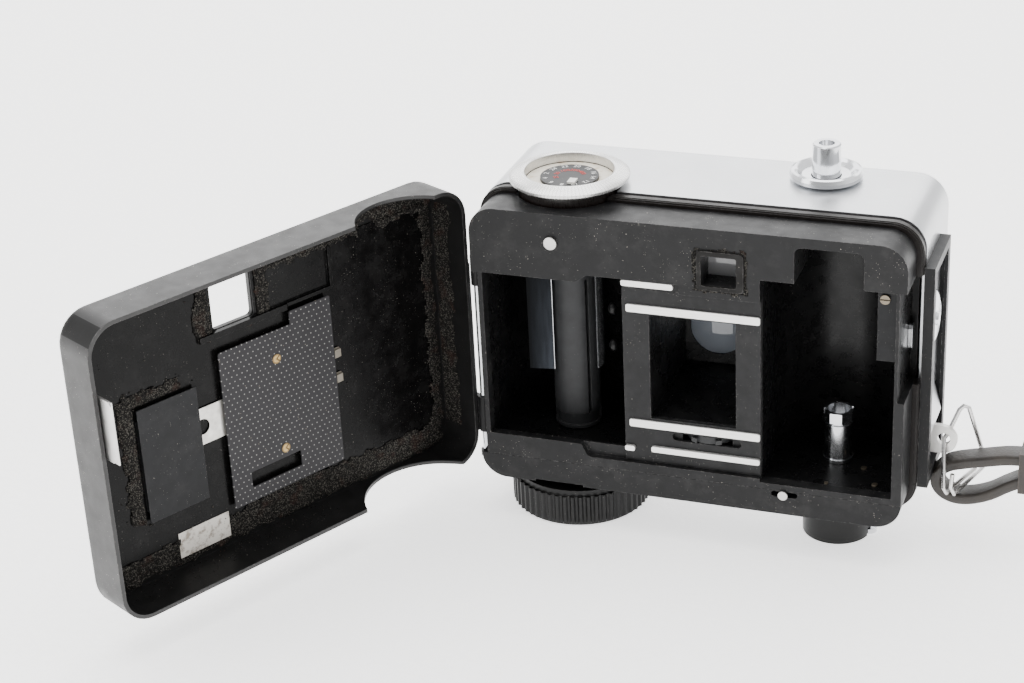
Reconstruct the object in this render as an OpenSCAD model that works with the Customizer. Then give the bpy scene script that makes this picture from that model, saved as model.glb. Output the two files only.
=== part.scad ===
// Half frame 35 mm camera with a spring motor, its back door standing open.
// Millimetres. +Z is up, the lens looks along -Y, the back faces +Y.
// The origin is the mouth of the tripod socket, in the base of the body.
// The body stands on its two base knobs, so the knobs reach below Z = 0.

/* [Body] */
// Width over the aluminium shell
body_w = 87.8; // [80:0.1:100]
// Height of the aluminium shell
body_h = 61.1; // [55:0.1:70]
// Corner radius of the shell seen from the front
corner_r = 6.3; // [2:0.1:10]
// Front face of the shell along Y
shell_front_y = -18.2; // [-22:0.1:-10]
// Rear edge of the shell along Y
shell_rear_y = 5.6; // [4:0.1:12]
// Rear face of the black casting along Y
face_y = 17; // [14:0.1:20]
// Sheet thickness of the shell
shell_t = 0.9; // [0.5:0.1:1.5]
// Height of the seam between casting and bottom cover
seam_z = 6.3; // [4:0.1:9]

/* [Film chambers] */
// Axis of take-up spool, wind knob and dial along X
wind_x = 26.4; // [20:0.1:30]
// Axis of the film cassette and rewind knob along X
cass_x = -27.4; // [-32:0.1:-20]
// Both film axes along Y
axis_y = 3.4; // [0:0.1:6]
// Radius of the cassette chamber
cass_r = 12.8; // [12.6:0.1:14]
// Underside of the top bar over the take-up chamber
bar_z = 46.4; // [44:0.1:50]
// Floor of the cassette chamber
cass_floor_z = 7.6; // [6:0.1:10]

/* [Film gate] */
// Centre of the picture along X
gate_x = -1.45; // [-3:0.05:1]
// Centre of the picture along Z
gate_z = 29.4; // [27:0.1:32]
// Width of the half frame opening
gate_w = 17.1; // [16:0.1:19]
// Height of the half frame opening
gate_h = 22.4; // [21:0.1:25]
// Plane that the gate plate's face lies in along Y
gate_y = 16; // [15:0.1:17]

/* [Knobs and dial] */
// Radius of the wind knob
wind_r = 14.2; // [11:0.1:15]
// Radius of the rewind knob
rewind_r = 6.8; // [5:0.1:8]
// Level that both knobs stand on
stand_z = -8.3; // [-12:0.1:-4]
// Flutes round the wind knob
wind_flutes = 54; // [30:1:80]
// Outer radius of the top dial
dial_r = 11.8; // [10:0.1:14]
// Shutter button axis along X
button_x = -21.3; // [-26:0.1:-16]
// Shutter button axis along Y
button_y = -10; // [-14:0.1:-4]

/* [Back door] */
// Angle that the door stands open at rest
door_open = 117.4; // [0:0.1:140]
// Hinge axis along X
hinge_x = 45.2; // [44:0.1:47]
// Hinge axis along Y
hinge_y = 8.2; // [7:0.1:10]
// Door rim along Y when closed
rim_y = 8.95; // [8:0.05:10]
// Inner face of the door's back when closed
back_y = 18.4; // [17.5:0.1:20]
// Outer face of the door's back when closed
back_out_y = 19.45; // [18:0.05:22]
// Door sheet thickness
door_t = 0.8; // [0.5:0.1:1.5]

/* [Strap] */
// Width of the strap
strap_w = 5; // [3:0.1:8]
// Thickness of the strap
strap_t = 2.2; // [1:0.1:3]
// Radius of the coil that the rest of the strap lies in, to the middle of its turns
coil_r = 26; // [20:0.5:30]

/* [Output] */
// Sub-part to draw

/* [Hidden] */
$fn = 64;
hull_fn = 32;
eps = 0.01;
half_w = body_w / 2;
// The black casting is inset so that the door's walls close over it.
lip_in = 1.1;
free_in = 1.45;
hinge_side = half_w - lip_in;
free_side = half_w - free_in;
lip_z0 = 1.1;
lip_z1 = body_h - lip_in;
lip_r = 5.2;
rims_t = 1.3;
rims_y = 4;
plate_front_y = 14.6;
take_floor_z = 8.8;
sill_z = 11;
notch_z = 48;
rail_in_y = gate_y + 0.4;
rail_out_y = gate_y + 0.65;
spool_r = 4.7;
sprocket_r = 6.05;
sprocket_x = -4.1;
sprocket_y = gate_y + 0.3 - sprocket_r;
sprocket_z = 14.7;
lens_z = 29.9;
tunnel_y = -2.5;
cell_y = tunnel_y - 0.1;
barrel_len = 19;
blade_x = 3;
blade_drop = 8.4;
finder_x = -7.1;
finder_w = 6.8;
side_x = -half_w;
pin_r = 0.75;
knuckle_r = 1.2;
knob_cut_r = 14;
band_y0 = shell_rear_y + 0.15;
band_y1 = rim_y - 0.35;
plate_y = gate_y + 0.8;
lining_y = back_y - 0.4;
seal_y = back_y - 1.2;
spring_y = back_y - 0.78;
spring_t = 0.16;
run = 0.05;
crank_x = 3.4;
crank_z = 0.84;
hole_fn = 48;
black = [0.12, 0.12, 0.13];
alu = [0.78, 0.78, 0.8];
chrome = [0.85, 0.85, 0.88];
foam = [0.25, 0.2, 0.16];

// Route of the strap: its tail, round the ring, back through the keeper and down to the coil.
strap_route = [
  [-67.5, 0, 11.2], [-64, 0, 11.1], [-60, 0, 10.8], [-56, 0, 9.9], [-52, 0, 8.9],
  [-48.8, 0, 7.8], [-46.9, 0, 6], [-46.6, 0, 3.7], [-48, 0, 1.8], [-50.5, 0, 0.9],
  [-53.5, 0, 1.2], [-57, 0, 2.6], [-60.5, 0, 4.9], [-64, 0, 6.6], [-68, 0, 6.5],
  [-72, 0, 4.7], [-76, 0, 1.8], [-80, 0, -1.3], [-84, 0.1, -3.9], [-88, 0.4, -5.4],
  [-92, 1, -5.8], [-96, 2, -5.8], [-100, 3.5, -5.8]
];
// The strap turns from lying flat to standing on its edge between these points of the route.
twist_from = 15;
twist_to = 20;
coil_x = -111.5;
coil_y = -21.5;
coil_wide = 5.4;

// ---------- helpers ----------

// Extrudes a drawing in X and Z along Y, from y0 to y1.
module slab(y0, y1) {
  translate([0, y1, 0]) rotate([90, 0, 0]) linear_extrude(y1 - y0) children();
}

// Rectangle with round corners, from its left, right, bottom and top.
module round_rect(x0, x1, z0, z1, r) {
  translate([x0 + r, z0]) square([x1 - x0 - 2 * r, z1 - z0]);
  translate([x0, z0 + r]) square([x1 - x0, z1 - z0 - 2 * r]);
  for (x = [x0 + r, x1 - r], z = [z0 + r, z1 - r]) translate([x, z]) circle(r, $fn = hole_fn);
}

// Box from its low and high corners.
module bx(x0, x1, y0, y1, z0, z1) {
  translate([x0, y0, z0]) cube([x1 - x0, y1 - y0, z1 - z0]);
}

// Upright cylinder between two heights.
module post(x, y, r, z0, z1) {
  translate([x, y, z0]) cylinder(r = r, h = z1 - z0, $fn = hole_fn);
}

// Cylinder along Y between two depths.
module rod_y(x, z, r, y0, y1) {
  translate([x, y1, z]) rotate([90, 0, 0]) cylinder(r = r, h = y1 - y0, $fn = hole_fn);
}

// Cylinder along X between two sides.
module rod_x(y, z, r, x0, x1) {
  translate([x0, y, z]) rotate([0, 90, 0]) cylinder(r = r, h = x1 - x0, $fn = hole_fn);
}

// Tray outline with a soft edge at one end of Y: s = -1 rounds the low end, 1 the high end.
module soft_tray(x0, x1, z0, z1, y0, y1, r, edge, s) {
  plane_y = s > 0 ? y0 : y1;
  hull() {
    for (x = [x0 + r, x1 - r], z = [z0 + r, z1 - r]) {
      translate([x, plane_y, z]) rotate([90, 0, 0])
        cylinder(r = r, h = eps, center = true, $fn = hull_fn);
      translate([x, s > 0 ? y1 - edge : y0 + edge, z]) rotate([s > 0 ? -90 : 90, 0, 0])
        rotate_extrude($fn = hull_fn) intersection() {
          translate([r - edge, 0]) circle(edge, $fn = 24);
          square([r + 1, edge + 1]);
        }
    }
  }
}

// Moves what is drawn for the closed door to where the door stands open.
module opened() {
  translate([hinge_x, hinge_y, 0]) rotate([0, 0, -door_open]) translate([-hinge_x, -hinge_y, 0])
    children();
}

// ---------- outer shell and front ----------

module shell_holes() {
  // neck of the dial, button, tripod socket, knob shafts
  post(wind_x, axis_y, 10.5, body_h - 3, body_h + 1);
  post(button_x, button_y, 3.4, body_h - 3, body_h + 1);
  post(0, 0, 5.2, -1, 3);
  post(wind_x, axis_y, 4, -1, 3);
  post(cass_x, axis_y, 3.6, -1, 3);
  // lens, meter and finder openings in the front wall
  rod_y(gate_x, lens_z, 14, shell_front_y - 1, shell_front_y + 3);
  bx(finder_x - 3.8, finder_x + 3.8, shell_front_y - 1, shell_front_y + 3, 48.4, 54.9);
}

module outer_shell() {
  color(alu) difference() {
    soft_tray(-half_w, half_w, 0, body_h, shell_front_y, shell_rear_y, corner_r, 1.6, -1);
    slab(shell_front_y + shell_t, shell_rear_y + 1)
      round_rect(-half_w + shell_t, half_w - shell_t, shell_t, body_h - shell_t, corner_r - shell_t);
    shell_holes();
  }
}

// Black bead round the body, between the shell's edge and the door's.
module band_ring(y0, y1, inset) {
  slab(y0, y1) difference() {
    round_rect(-half_w + inset, half_w - inset, inset, body_h - inset, corner_r - inset);
    round_rect(-free_side, hinge_side, lip_z0, lip_z1, lip_r);
  }
}

module edge_band() {
  color(black) difference() {
    union() {
      band_ring(band_y0, band_y0 + 0.5, 0.5);
      band_ring(band_y0 + 0.5, band_y0 + 0.95, 0.25);
      band_ring(band_y0 + 0.95, band_y1 - 0.75, 0.12);
      band_ring(band_y1 - 0.75, band_y1 - 0.35, 0.25);
      band_ring(band_y1 - 0.35, band_y1, 0.5);
    }
    // neck of the dial, knob shafts, latch recess
    post(wind_x, axis_y, 10.5, body_h - 3, body_h + 1);
    post(wind_x, axis_y, 4, -1, 3);
    post(cass_x, axis_y, 3.6, -1, 3);
    bx(-50, -40, 0, 20, 28.3, 50.8);
  }
}

module front_panel() {
  // raised plate round the lens with the cell window's frame
  color(black) difference() {
    slab(shell_front_y - 1.4, shell_front_y)
      round_rect(-34, 34, 8, 56.5, 3);
    rod_y(gate_x, lens_z, 14, shell_front_y - 2, shell_front_y + 1);
    slab(shell_front_y - 2, shell_front_y - 0.5) round_rect(-32, 20, 10, 46.6, 2);
    bx(finder_x - 3.8, finder_x + 3.8, shell_front_y - 3, shell_front_y + 3, 48.4, 54.9);
  }
}

module meter_window() {
  // selenium cell cover: a plate with rows of round lenslets
  color([0.5, 0.52, 0.55]) difference() {
    union() {
      slab(shell_front_y - 1.3, shell_front_y - 0.5) round_rect(-31.8, 19.8, 10.2, 46.4, 1.8);
      for (i = [0:11], j = [0:7]) {
        x = -29.5 + i * 4.3;
        z = 12.8 + j * 4.5;
        if (norm([x - gate_x, z - lens_z]) > 16.6)
          rod_y(x, z, 1.8, shell_front_y - 1.7, shell_front_y - 1.2);
      }
    }
    rod_y(gate_x, lens_z, 14, shell_front_y - 3, shell_front_y + 1);
  }
}

module lens_barrel() {
  color(chrome) translate([gate_x, tunnel_y, lens_z]) rotate([90, 0, 0]) difference() {
    union() {
      cylinder(r = 13.8, h = barrel_len - 2, $fn = hole_fn);
      translate([0, 0, barrel_len - 2]) cylinder(r1 = 13.2, r2 = 11.5, h = 2, $fn = hole_fn);
    }
    translate([0, 0, -1]) cylinder(r = 11.6, h = 9, $fn = hole_fn);
    translate([0, 0, 7]) cylinder(r = 6.2, h = 20, $fn = hole_fn);
    translate([0, 0, barrel_len - 3.6]) cylinder(r1 = 6.2, r2 = 10.5, h = 3.7, $fn = hole_fn);
  }
}

module lens_front_glass() {
  color([0.4, 0.5, 0.7, 0.5]) translate([gate_x, 0, lens_z]) rotate([90, 0, 0])
    translate([0, 0, 14]) intersection() {
      cylinder(r = 6.15, h = 4, $fn = hole_fn);
      translate([0, 0, -11]) sphere(14, $fn = 64);
    }
}

module lens_rear_glass() {
  color([0.5, 0.5, 0.6, 0.5]) translate([gate_x, cell_y, lens_z]) rotate([90, 0, 0]) intersection() {
    translate([0, 0, -1]) cylinder(r = 5.6, h = 3.6, $fn = hole_fn);
    translate([0, 0, 11]) sphere(12, $fn = 64);
  }
}

module shutter_plate() {
  // rear cell of the lens: holds the rear glass and the pins that the blades turn on
  color(black) {
    difference() {
      rod_y(gate_x, lens_z, 11.5, cell_y - 4.2, cell_y);
      rod_y(gate_x, lens_z, 5.65, cell_y - 2.6, cell_y + 1);
      rod_y(gate_x, lens_z, 5, cell_y - 5, cell_y);
    }
    for (s = [-1, 1]) rod_y(gate_x + blade_x * s, lens_z - blade_drop, 0.5, cell_y - 5.8, cell_y - 4);
  }
}

// One blade: turns on its pin and covers half of the aperture.
module blade(s) {
  blade_y = cell_y - 4.95 - 0.35 * s;
  slab(blade_y - 0.2, blade_y + 0.2) difference() {
    hull() {
      translate([gate_x + blade_x * s, lens_z - blade_drop]) circle(1.4, $fn = hull_fn);
      translate([gate_x + 2.6 * s, lens_z]) circle(5.2, $fn = hull_fn);
    }
    translate([gate_x + blade_x * s, lens_z - blade_drop]) circle(0.55, $fn = hull_fn);
  }
}

module shutter_blade_a() {
  color([0.3, 0.3, 0.32]) blade(1);
}

module shutter_blade_b() {
  color([0.35, 0.35, 0.37]) blade(-1);
}

module finder_front_window() {
  color([0.6, 0.65, 0.75, 0.5])
    bx(finder_x - 3.7, finder_x + 3.7, shell_front_y - 0.6, shell_front_y + 1.4, 48.5, 54.8);
}

// ---------- casting ----------

module lip_outline() {
  round_rect(-free_side, hinge_side, lip_z0, lip_z1, lip_r);
}

module lip_outline_in(t) {
  round_rect(-free_side + t, hinge_side - t, lip_z0 + t, lip_z1 - t, lip_r - t);
}

// Plan of the take-up chamber, grown by e.
module take_plan(e) {
  hull() {
    translate([30, axis_y]) circle(10.6 + e, $fn = 48);
    translate([24.5, axis_y - 1]) circle(8 + e, $fn = 48);
    translate([12.4 - e, gate_y - 0.2]) square([28.2 + 2 * e, 2]);
  }
}

// Plan of the cassette chamber, grown by e.
module cass_plan(e) {
  translate([cass_x - 0.3, axis_y]) circle(cass_r + e, $fn = 64);
  translate([cass_x - 0.3 - cass_r - e, axis_y]) square([2 * (cass_r + e), 14.6]);
}

// Rims that the door closes over, and the rear plate between them.
module casting_rims() {
  slab(rims_y, face_y) difference() {
    lip_outline();
    lip_outline_in(rims_t);
  }
  slab(plate_front_y, face_y) lip_outline();
}

// What lies ahead of the rear plate and inside the rims.
module inside_rims() {
  slab(-15, plate_front_y) lip_outline_in(rims_t);
}

module casting_cavities() {
  // take-up chamber above its floor, with the sill left standing at the mouth
  translate([0, 0, take_floor_z]) linear_extrude(bar_z + 0.9 - take_floor_z) intersection() {
    take_plan(0);
    translate([10, -20]) square([40, 35.2]);
  }
  translate([0, 0, sill_z]) linear_extrude(bar_z - sill_z) take_plan(0);
  // cassette chamber with a pocket over the cassette's knob end
  translate([0, 0, cass_floor_z]) linear_extrude(50.7 - cass_floor_z) cass_plan(0);
  slab(-4, face_y + 1) round_rect(-34.4, -21.4, 46, 58, 1.4);
  // light tunnel, tapered towards the lens
  hull() {
    bx(gate_x - gate_w / 2 - 0.4, gate_x + gate_w / 2 + 0.4, 15.4, 15.5,
       gate_z - gate_h / 2 - 0.4, gate_z + gate_h / 2 + 0.4);
    bx(gate_x - 6.6, gate_x + 6.6, tunnel_y - 0.2, tunnel_y - 0.1, gate_z - 7, gate_z + 7);
  }
  bx(gate_x - gate_w / 2 - 0.4, gate_x + gate_w / 2 + 0.4, 15.3, 18,
     gate_z - gate_h / 2 - 0.4, gate_z + gate_h / 2 + 0.4);
  // finder tunnel
  bx(finder_x - finder_w / 2, finder_x + finder_w / 2, -16, 18, 48.6, 54.7);
  // seat of the gate plate and the notch over its short guide
  bx(-14.9, 12.5, 15.2, 18, 8.3, 46);
  bx(0.8, 12.4, 16, 18, 45, notch_z);
  slab(14, 18) polygon([[12.3, 46], [21.6, 46], [21.4, bar_z], [19.2, notch_z], [12.3, notch_z]]);
  slab(15.7, 18) polygon([[12.4, 8.3], [19.6, 8.3], [20.2, 8.6], [22, 12], [12.4, 12]]);
  // sprocket well
  post(sprocket_x, sprocket_y, sprocket_r + 1, 13.2, 16.5);
  post(sprocket_x, sprocket_y, 1.3, seam_z - 1, 17);
}

module casting_bores() {
  // dial, wind shaft, rewind shaft, button and counter pin
  post(wind_x, axis_y, 10.6, 48, lip_z1 + 1);
  post(wind_x, axis_y, 1.5 + run, seam_z - 1, 60);
  post(cass_x, axis_y, 2 + run, seam_z - 1, 9);
  post(button_x, button_y, 3.2, 51.4, 62);
  rod_y(26, 54.2, 1.3 + run, 13, 18);
  // recesses of the side walls for the hinge and for the latch
  bx(41.5, 44, -15, 18, 2, 46.3);
  bx(-44, -41.1, 4.5, 18, 28.3, 50.8);
}

module rear_frame() {
  color(black) difference() {
    casting_rims();
    casting_cavities();
    casting_bores();
    bx(-50, 50, -20, 20, -1, seam_z);
  }
}

module take_up_well() {
  // heads of two rivets in the wall beside the gate
  color(black) for (z = [30, 38]) translate([16.35, 9.6, z]) scale([0.7, 0.7, 1]) sphere(1.3, $fn = 32);
  color(black) difference() {
    intersection() {
      translate([0, 0, seam_z]) linear_extrude(50 - seam_z) take_plan(1.1);
      inside_rims();
    }
    casting_cavities();
    casting_bores();
  }
}

module cassette_well() {
  color(black) difference() {
    intersection() {
      translate([0, 0, seam_z]) linear_extrude(lip_z1 - 0.6 - seam_z) cass_plan(0.9);
      inside_rims();
    }
    casting_cavities();
    casting_bores();
  }
}

module light_tunnel() {
  color(black) difference() {
    union() {
      bx(gate_x - 11.2, gate_x + 11.2, tunnel_y, plate_front_y, gate_z - 13.6, gate_z + 13.6);
      bx(finder_x - 4.6, finder_x + 4.6, -14, plate_front_y, 47.2, 56.2);
      bx(-13.9, 11.2, 2.5, plate_front_y, seam_z, 16.4);
    }
    casting_cavities();
    casting_bores();
  }
}

module bottom_cover() {
  color(black) difference() {
    slab(-14, face_y) intersection() {
      lip_outline();
      translate([-50, 0]) square([100, seam_z - 0.05]);
    }
    bx(-38, 38, -13.8, 14, lip_z0 + 1.2, seam_z + 1);
    post(wind_x, axis_y, wind_r + 0.3, 0, 1.5);
    post(wind_x, axis_y, 3.2, 0, seam_z + 1);
    post(cass_x, axis_y, 2 + run, 0, seam_z + 1);
    post(0, 0, 5.1, 0, seam_z + 1);
    // slot of the release pin
    slab(13, 18) round_rect(-22.4, -17.2, 4.9, 6.1, 0.55);
    bx(42.6, 44, -16, 18, 2.2, 6.3);
  }
}

// ---------- gate ----------

module gate_plate() {
  color([0.3, 0.3, 0.31]) difference() {
    bx(-14.85, 12.45, 15.2, gate_y, 8.35, 45.95);
    bx(gate_x - gate_w / 2, gate_x + gate_w / 2, 14, 18, gate_z - gate_h / 2, gate_z + gate_h / 2);
    slab(14, 18) round_rect(-11, 2.8, 13.9, 15.6, 0.8);
    // film side runs down into the take-up chamber in a soft edge
    translate([12.9, 15, 30]) rotate([0, 0, 45]) cube([1.6, 1.6, 80], center = true);
  }
}

module rail(x0, x1, z0, z1, y1) {
  slab(gate_y, y1) round_rect(x0, x1, z0, z1, 0.4);
}

module film_rails() {
  color(chrome) {
    rail(-14.8, 11.6, 41.0, 42.6, rail_in_y);
    rail(-14.8, 11.4, 16.1, 17.7, rail_in_y);
    rail(-14.8, 7.0, 11.0, 12.2, rail_out_y);
    rail(10.4, 12.4, 10.7, 11.8, rail_out_y);
    rail(2.1, 12.4, 46.5, 47.7, rail_out_y);
  }
}

module sprocket() {
  color(black) {
    difference() {
      post(sprocket_x, sprocket_y, sprocket_r - 0.35, 14, 15.5);
      post(sprocket_x, sprocket_y, 1.2, 13, 17);
    }
    post(sprocket_x, sprocket_y, 1.25, 7, 16.3);
    for (i = [0:7]) translate([sprocket_x, sprocket_y, 0]) rotate([0, 0, i * 45 + 22.5])
      bx(sprocket_r - 0.6, sprocket_r + 0.45, -0.6, 0.6, sprocket_z - 0.45, sprocket_z + 0.45);
  }
}

module eyepiece_frame() {
  color([0.2, 0.2, 0.21]) slab(face_y, face_y + 0.5) difference() {
    round_rect(-11.9, -2.8, 47.7, 55.7, 0.9);
    round_rect(finder_x - finder_w / 2, finder_x + finder_w / 2, 48.6, 54.7, 0.4);
  }
}

module eyepiece_seal() {
  color(foam) slab(face_y, face_y + 0.15) difference() {
    round_rect(-12.8, -1.8, 46.7, 56.4, 1.2);
    round_rect(-11.9, -2.8, 47.7, 55.7, 0.9);
  }
}

module finder_glass() {
  color([0.85, 0.9, 0.95, 0.6]) bx(finder_x - finder_w / 2, finder_x + finder_w / 2, 11, 12, 48.6, 54.7);
}

// ---------- take-up and cassette fittings ----------

module take_up_spool() {
  color([0.25, 0.25, 0.26]) difference() {
    union() {
      post(wind_x, axis_y, spool_r, 9.2, 46.8);
      post(wind_x, axis_y, spool_r - 0.5, 9, 9.3);
    }
    post(wind_x, axis_y, 1.6, 8, 48);
    // film slot along the spool
    translate([wind_x, axis_y, 12]) rotate([0, 0, 140]) bx(1.9, 6, -0.35, 0.35, 0, 30);
    // the sleeve ends short of the core on one side
    translate([wind_x, axis_y, 9.9]) rotate([0, 0, 100]) intersection() {
      difference() {
        cylinder(r = spool_r + 1, h = 2.6, $fn = hole_fn);
        translate([0, 0, -1]) cylinder(r = spool_r - 0.45, h = 5, $fn = hole_fn);
      }
      bx(0, 8, -8, 8, -1, 5);
    }
  }
}

module film_arm() {
  // spring sheet wrapped round the front of the spool, with a flared free edge
  color(chrome) translate([wind_x, axis_y, 22.3]) difference() {
    linear_extrude(24.6) {
      difference() {
        circle(5.75, $fn = 72);
        circle(5.5, $fn = 72);
        polygon([[0, 0], [5.54, 7.09], [-2, 12], [-12, 8], [-8.34, 3.37]]);
      }
      translate([3.1, 4.35]) rotate(10) square([5.1, 0.3]);
    }
    bx(-2.2, 2.2, -8, 0, -1, 6);
  }
}

module cassette_guide() {
  color(black) {
    bx(-40.5, -39.4, 9.4, 14.5, 35.6, 50.2);
    bx(-39.5, -36.6, 13.9, 14.5, 35.6, 50.2);
  }
}

module screw_head(x, y, z) {
  difference() {
    rod_y(x, z, 0.95, y, y + 0.55);
    bx(x - 1, x + 1, y + 0.3, y + 1, z - 0.13, z + 0.13);
  }
}

module small_screws() {
  color([0.35, 0.33, 0.3]) {
    screw_head(-38, 14.5, 48.4);
    for (p = [[-36.5, 12.5, 0.6], [-33.2, 6.6, 0.6], [-27.4, 14.2, 0.4]])
      post(p[0], p[1], p[2], cass_floor_z, cass_floor_z + 0.3);
  }
}

// ---------- knobs, shafts and dial ----------

// Outline of a fluted knob: points alternate between crest and root.
function fluted(r, depth, n) = [
  for (i = [0:4 * n - 1]) let (a = i * 90 / n, q = (i % 4 < 2) ? r : r - depth)
    [q * cos(a), q * sin(a)]
];

module wind_knob() {
  color(black) difference() {
    union() {
      translate([wind_x, axis_y, stand_z + 0.5]) linear_extrude(6.2)
        polygon(fluted(wind_r, 0.45, wind_flutes));
      post(wind_x, axis_y, wind_r - 0.7, stand_z, -0.4);
      post(wind_x, axis_y, 3, -1, 2.2);
    }
    post(wind_x, axis_y, 9.6, stand_z - 1, stand_z + 0.7);
    post(wind_x, axis_y, 1.45, -3, 3);
  }
}

module wind_shaft() {
  color([0.6, 0.6, 0.62]) post(wind_x, axis_y, 1.5, -3, 57.5);
}

module spring_barrel() {
  color([0.75, 0.6, 0.3]) difference() {
    post(wind_x, axis_y, 9.4, 48.6, 56.6);
    post(wind_x, axis_y, 1.45, 48, 58);
  }
}

// Milled ring, and the neck that carries it down into the casting.
module dial_ring() {
  color(alu) translate([wind_x, axis_y, 0]) rotate_extrude($fn = 72) polygon([
    [9.2, 57], [10.1, 57], [10.1, body_h + 0.95], [dial_r - 0.5, body_h + 1.0],
    [dial_r, body_h + 1.4], [dial_r, body_h + 1.9], [dial_r - 0.5, body_h + 2.3],
    [9.2, body_h + 3], [8.8, body_h + 2.8], [8.8, body_h + 0.95], [9.2, body_h + 0.95]
  ]);
}

module dial_floor() {
  color([0.85, 0.82, 0.74]) difference() {
    post(wind_x, axis_y, 8.7, body_h - 0.4, body_h + 0.85);
    post(wind_x, axis_y, 1.2 + run, body_h - 1, body_h + 1);
  }
}

module counter_disc() {
  color([0.1, 0.1, 0.1]) {
    post(wind_x, axis_y, 5.75, body_h + 0.9, body_h + 1.5);
    post(wind_x, axis_y, 1.2, 57.8, body_h + 0.95);
  }
}

module rewind_fork() {
  color(chrome) difference() {
    union() {
      post(cass_x, axis_y, 2, -3, 9);
      post(cass_x, axis_y, 3, cass_floor_z + 0.1, 8.4);
      post(cass_x, axis_y, 2.75, 8.3, 15.8);
      post(cass_x, axis_y, 2.45, 15.7, 16.5);
      translate([cass_x, axis_y, 16.4]) rotate([0, 0, 22.5]) cylinder(r = 3.05, h = 2.2, $fn = 8);
    }
    post(cass_x, axis_y, 2.25, 16.9, 20);
    // slot for the key in the cassette's spool
    translate([cass_x, axis_y, 0]) rotate([0, 0, 20]) bx(-4, 4, -0.5, 0.5, 17.9, 20);
  }
}

module rewind_knob() {
  color(black) {
    difference() {
      union() {
        post(cass_x, axis_y, rewind_r, stand_z, -0.35);
        post(cass_x, axis_y, 3.2, -0.5, 0.4);
      }
      post(cass_x, axis_y, 1.95, -3, 1);
      // seat of the folded crank
      post(cass_x, axis_y, 5.6, stand_z - 1, stand_z + 1.6);
      bx(cass_x - 8, cass_x + 1, axis_y - 1.9, axis_y + 1.9, stand_z - 1, stand_z + 1.6);
    }
    rod_y(cass_x + crank_x, stand_z + crank_z, 0.3, axis_y - 4.8, axis_y + 4.8);
  }
}

module rewind_crank() {
  // folded arm in the knob's end, turning on the pin across the knob
  color(chrome) difference() {
    union() {
      bx(cass_x - 6.6, cass_x + crank_x, axis_y - 1.5, axis_y + 1.5, stand_z + 0.2, stand_z + 1.2);
      rod_y(cass_x + crank_x, stand_z + crank_z, 0.72, axis_y - 1.5, axis_y + 1.5);
      post(cass_x - 6.6, axis_y, 1.5, stand_z + 0.2, stand_z + 1.2);
    }
    rod_y(cass_x + crank_x, stand_z + crank_z, 0.35, axis_y - 4, axis_y + 4);
  }
}

// ---------- top plate ----------

module button_collar() {
  color(chrome) translate([button_x, button_y, body_h]) rotate_extrude($fn = 72) polygon([
    [2.95, 0], [6.2, 0], [7, 0.5], [7.1, 1.2], [6.8, 1.9], [6.3, 2.1], [5.8, 1.9], [4.7, 0.9], [2.95, 0.7]
  ]);
}

module shutter_button() {
  color(chrome) difference() {
    union() {
      post(button_x, button_y, 2.75, body_h - 1, 68.1);
      translate([button_x, button_y, 68.1]) cylinder(r1 = 2.75, r2 = 2.5, h = 0.25, $fn = hole_fn);
      post(button_x, button_y, 2.6, 53, body_h - 0.5);
    }
    translate([button_x, button_y, 64]) cylinder(r1 = 0.7, r2 = 1.6, h = 4.6, $fn = 32);
  }
}

module tripod_bush() {
  color([0.7, 0.7, 0.7]) difference() {
    union() {
      post(0, 0, 5, 0, 5.8);
      post(0, 0, 6.4, 2.4, 3.4);
    }
    post(0, 0, 3.175, -1, 5);
  }
}

// ---------- side: shoe, lug, ring ----------

module shoe_frame() {
  color(black) difference() {
    bx(side_x - 2, side_x, -8.4, 8.2, 6, 52.4);
    bx(side_x - 3, side_x + 1, -6.3, 6.3, 8, 50.6);
    bx(side_x - 1.3, side_x + 1, -7.2, 7.2, 8, 50.6);
  }
}

module shoe_plate() {
  color(alu) {
    difference() {
      bx(side_x - 0.45, side_x - 0.05, -7, 7, 22, 50.4);
      // clearance in which the contact sinks when it is pressed
      translate([side_x, 0.2, 38.6]) rotate([0, 90, 0]) cylinder(r = 5.7, h = 2, center = true);
    }
    // the plate's lower end bends away towards the lug
    translate([side_x - 0.25, 0, 22]) rotate([0, 14, 0]) bx(-0.2, 0.2, -5.6, 5.6, -5.8, 0);
  }
}

module shoe_contact() {
  color(chrome) translate([side_x - 0.5, 0.2, 38.6]) rotate([0, -90, 0]) rotate_extrude($fn = 64)
    polygon([
      [0, 0], [5.4, 0], [5.4, 0.35], [4.6, 0.75], [3.6, 0.95], [3.4, 0.8], [1.4, 0.8], [1.2, 1.3], [0, 1.4]
    ]);
}

module strap_lug() {
  color([0.7, 0.7, 0.72]) {
    difference() {
      union() {
        bx(side_x - 3.2, side_x, -0.55, 0.55, 9.8, 15.8);
        rod_y(side_x - 3.2, 12.8, 3, -0.55, 0.55);
      }
      rod_y(side_x - 3.6, 13, 1.25, -1, 1);
    }
    bx(side_x - 0.5, side_x, -2.6, 2.6, 9, 16.4);
  }
}

// One bent wire, sprung open like a key ring: it starts under the lug and laps itself.
ring_route = [
  [-50, 4, 7.4], [-49.8, 4.2, 4.6], [-50.4, 4, 3], [-54.6, -4.6, 5], [-55, -5.1, 6],
  [-51.6, -3, 18.6], [-50.7, -2.5, 19.2], [-49.9, -2.1, 18.4], [-48.2, -0.4, 14], [-47.5, 0.5, 13],
  [-47.8, 1.8, 11.4], [-48.4, 4, 4], [-48.9, 4, 3], [-53.2, -4.2, 4.8]
];

module split_ring() {
  color(chrome) swept(ring_route, round_section, 0.9, 0.9, [1, 0, 0]);
}

// ---------- strap ----------

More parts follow.
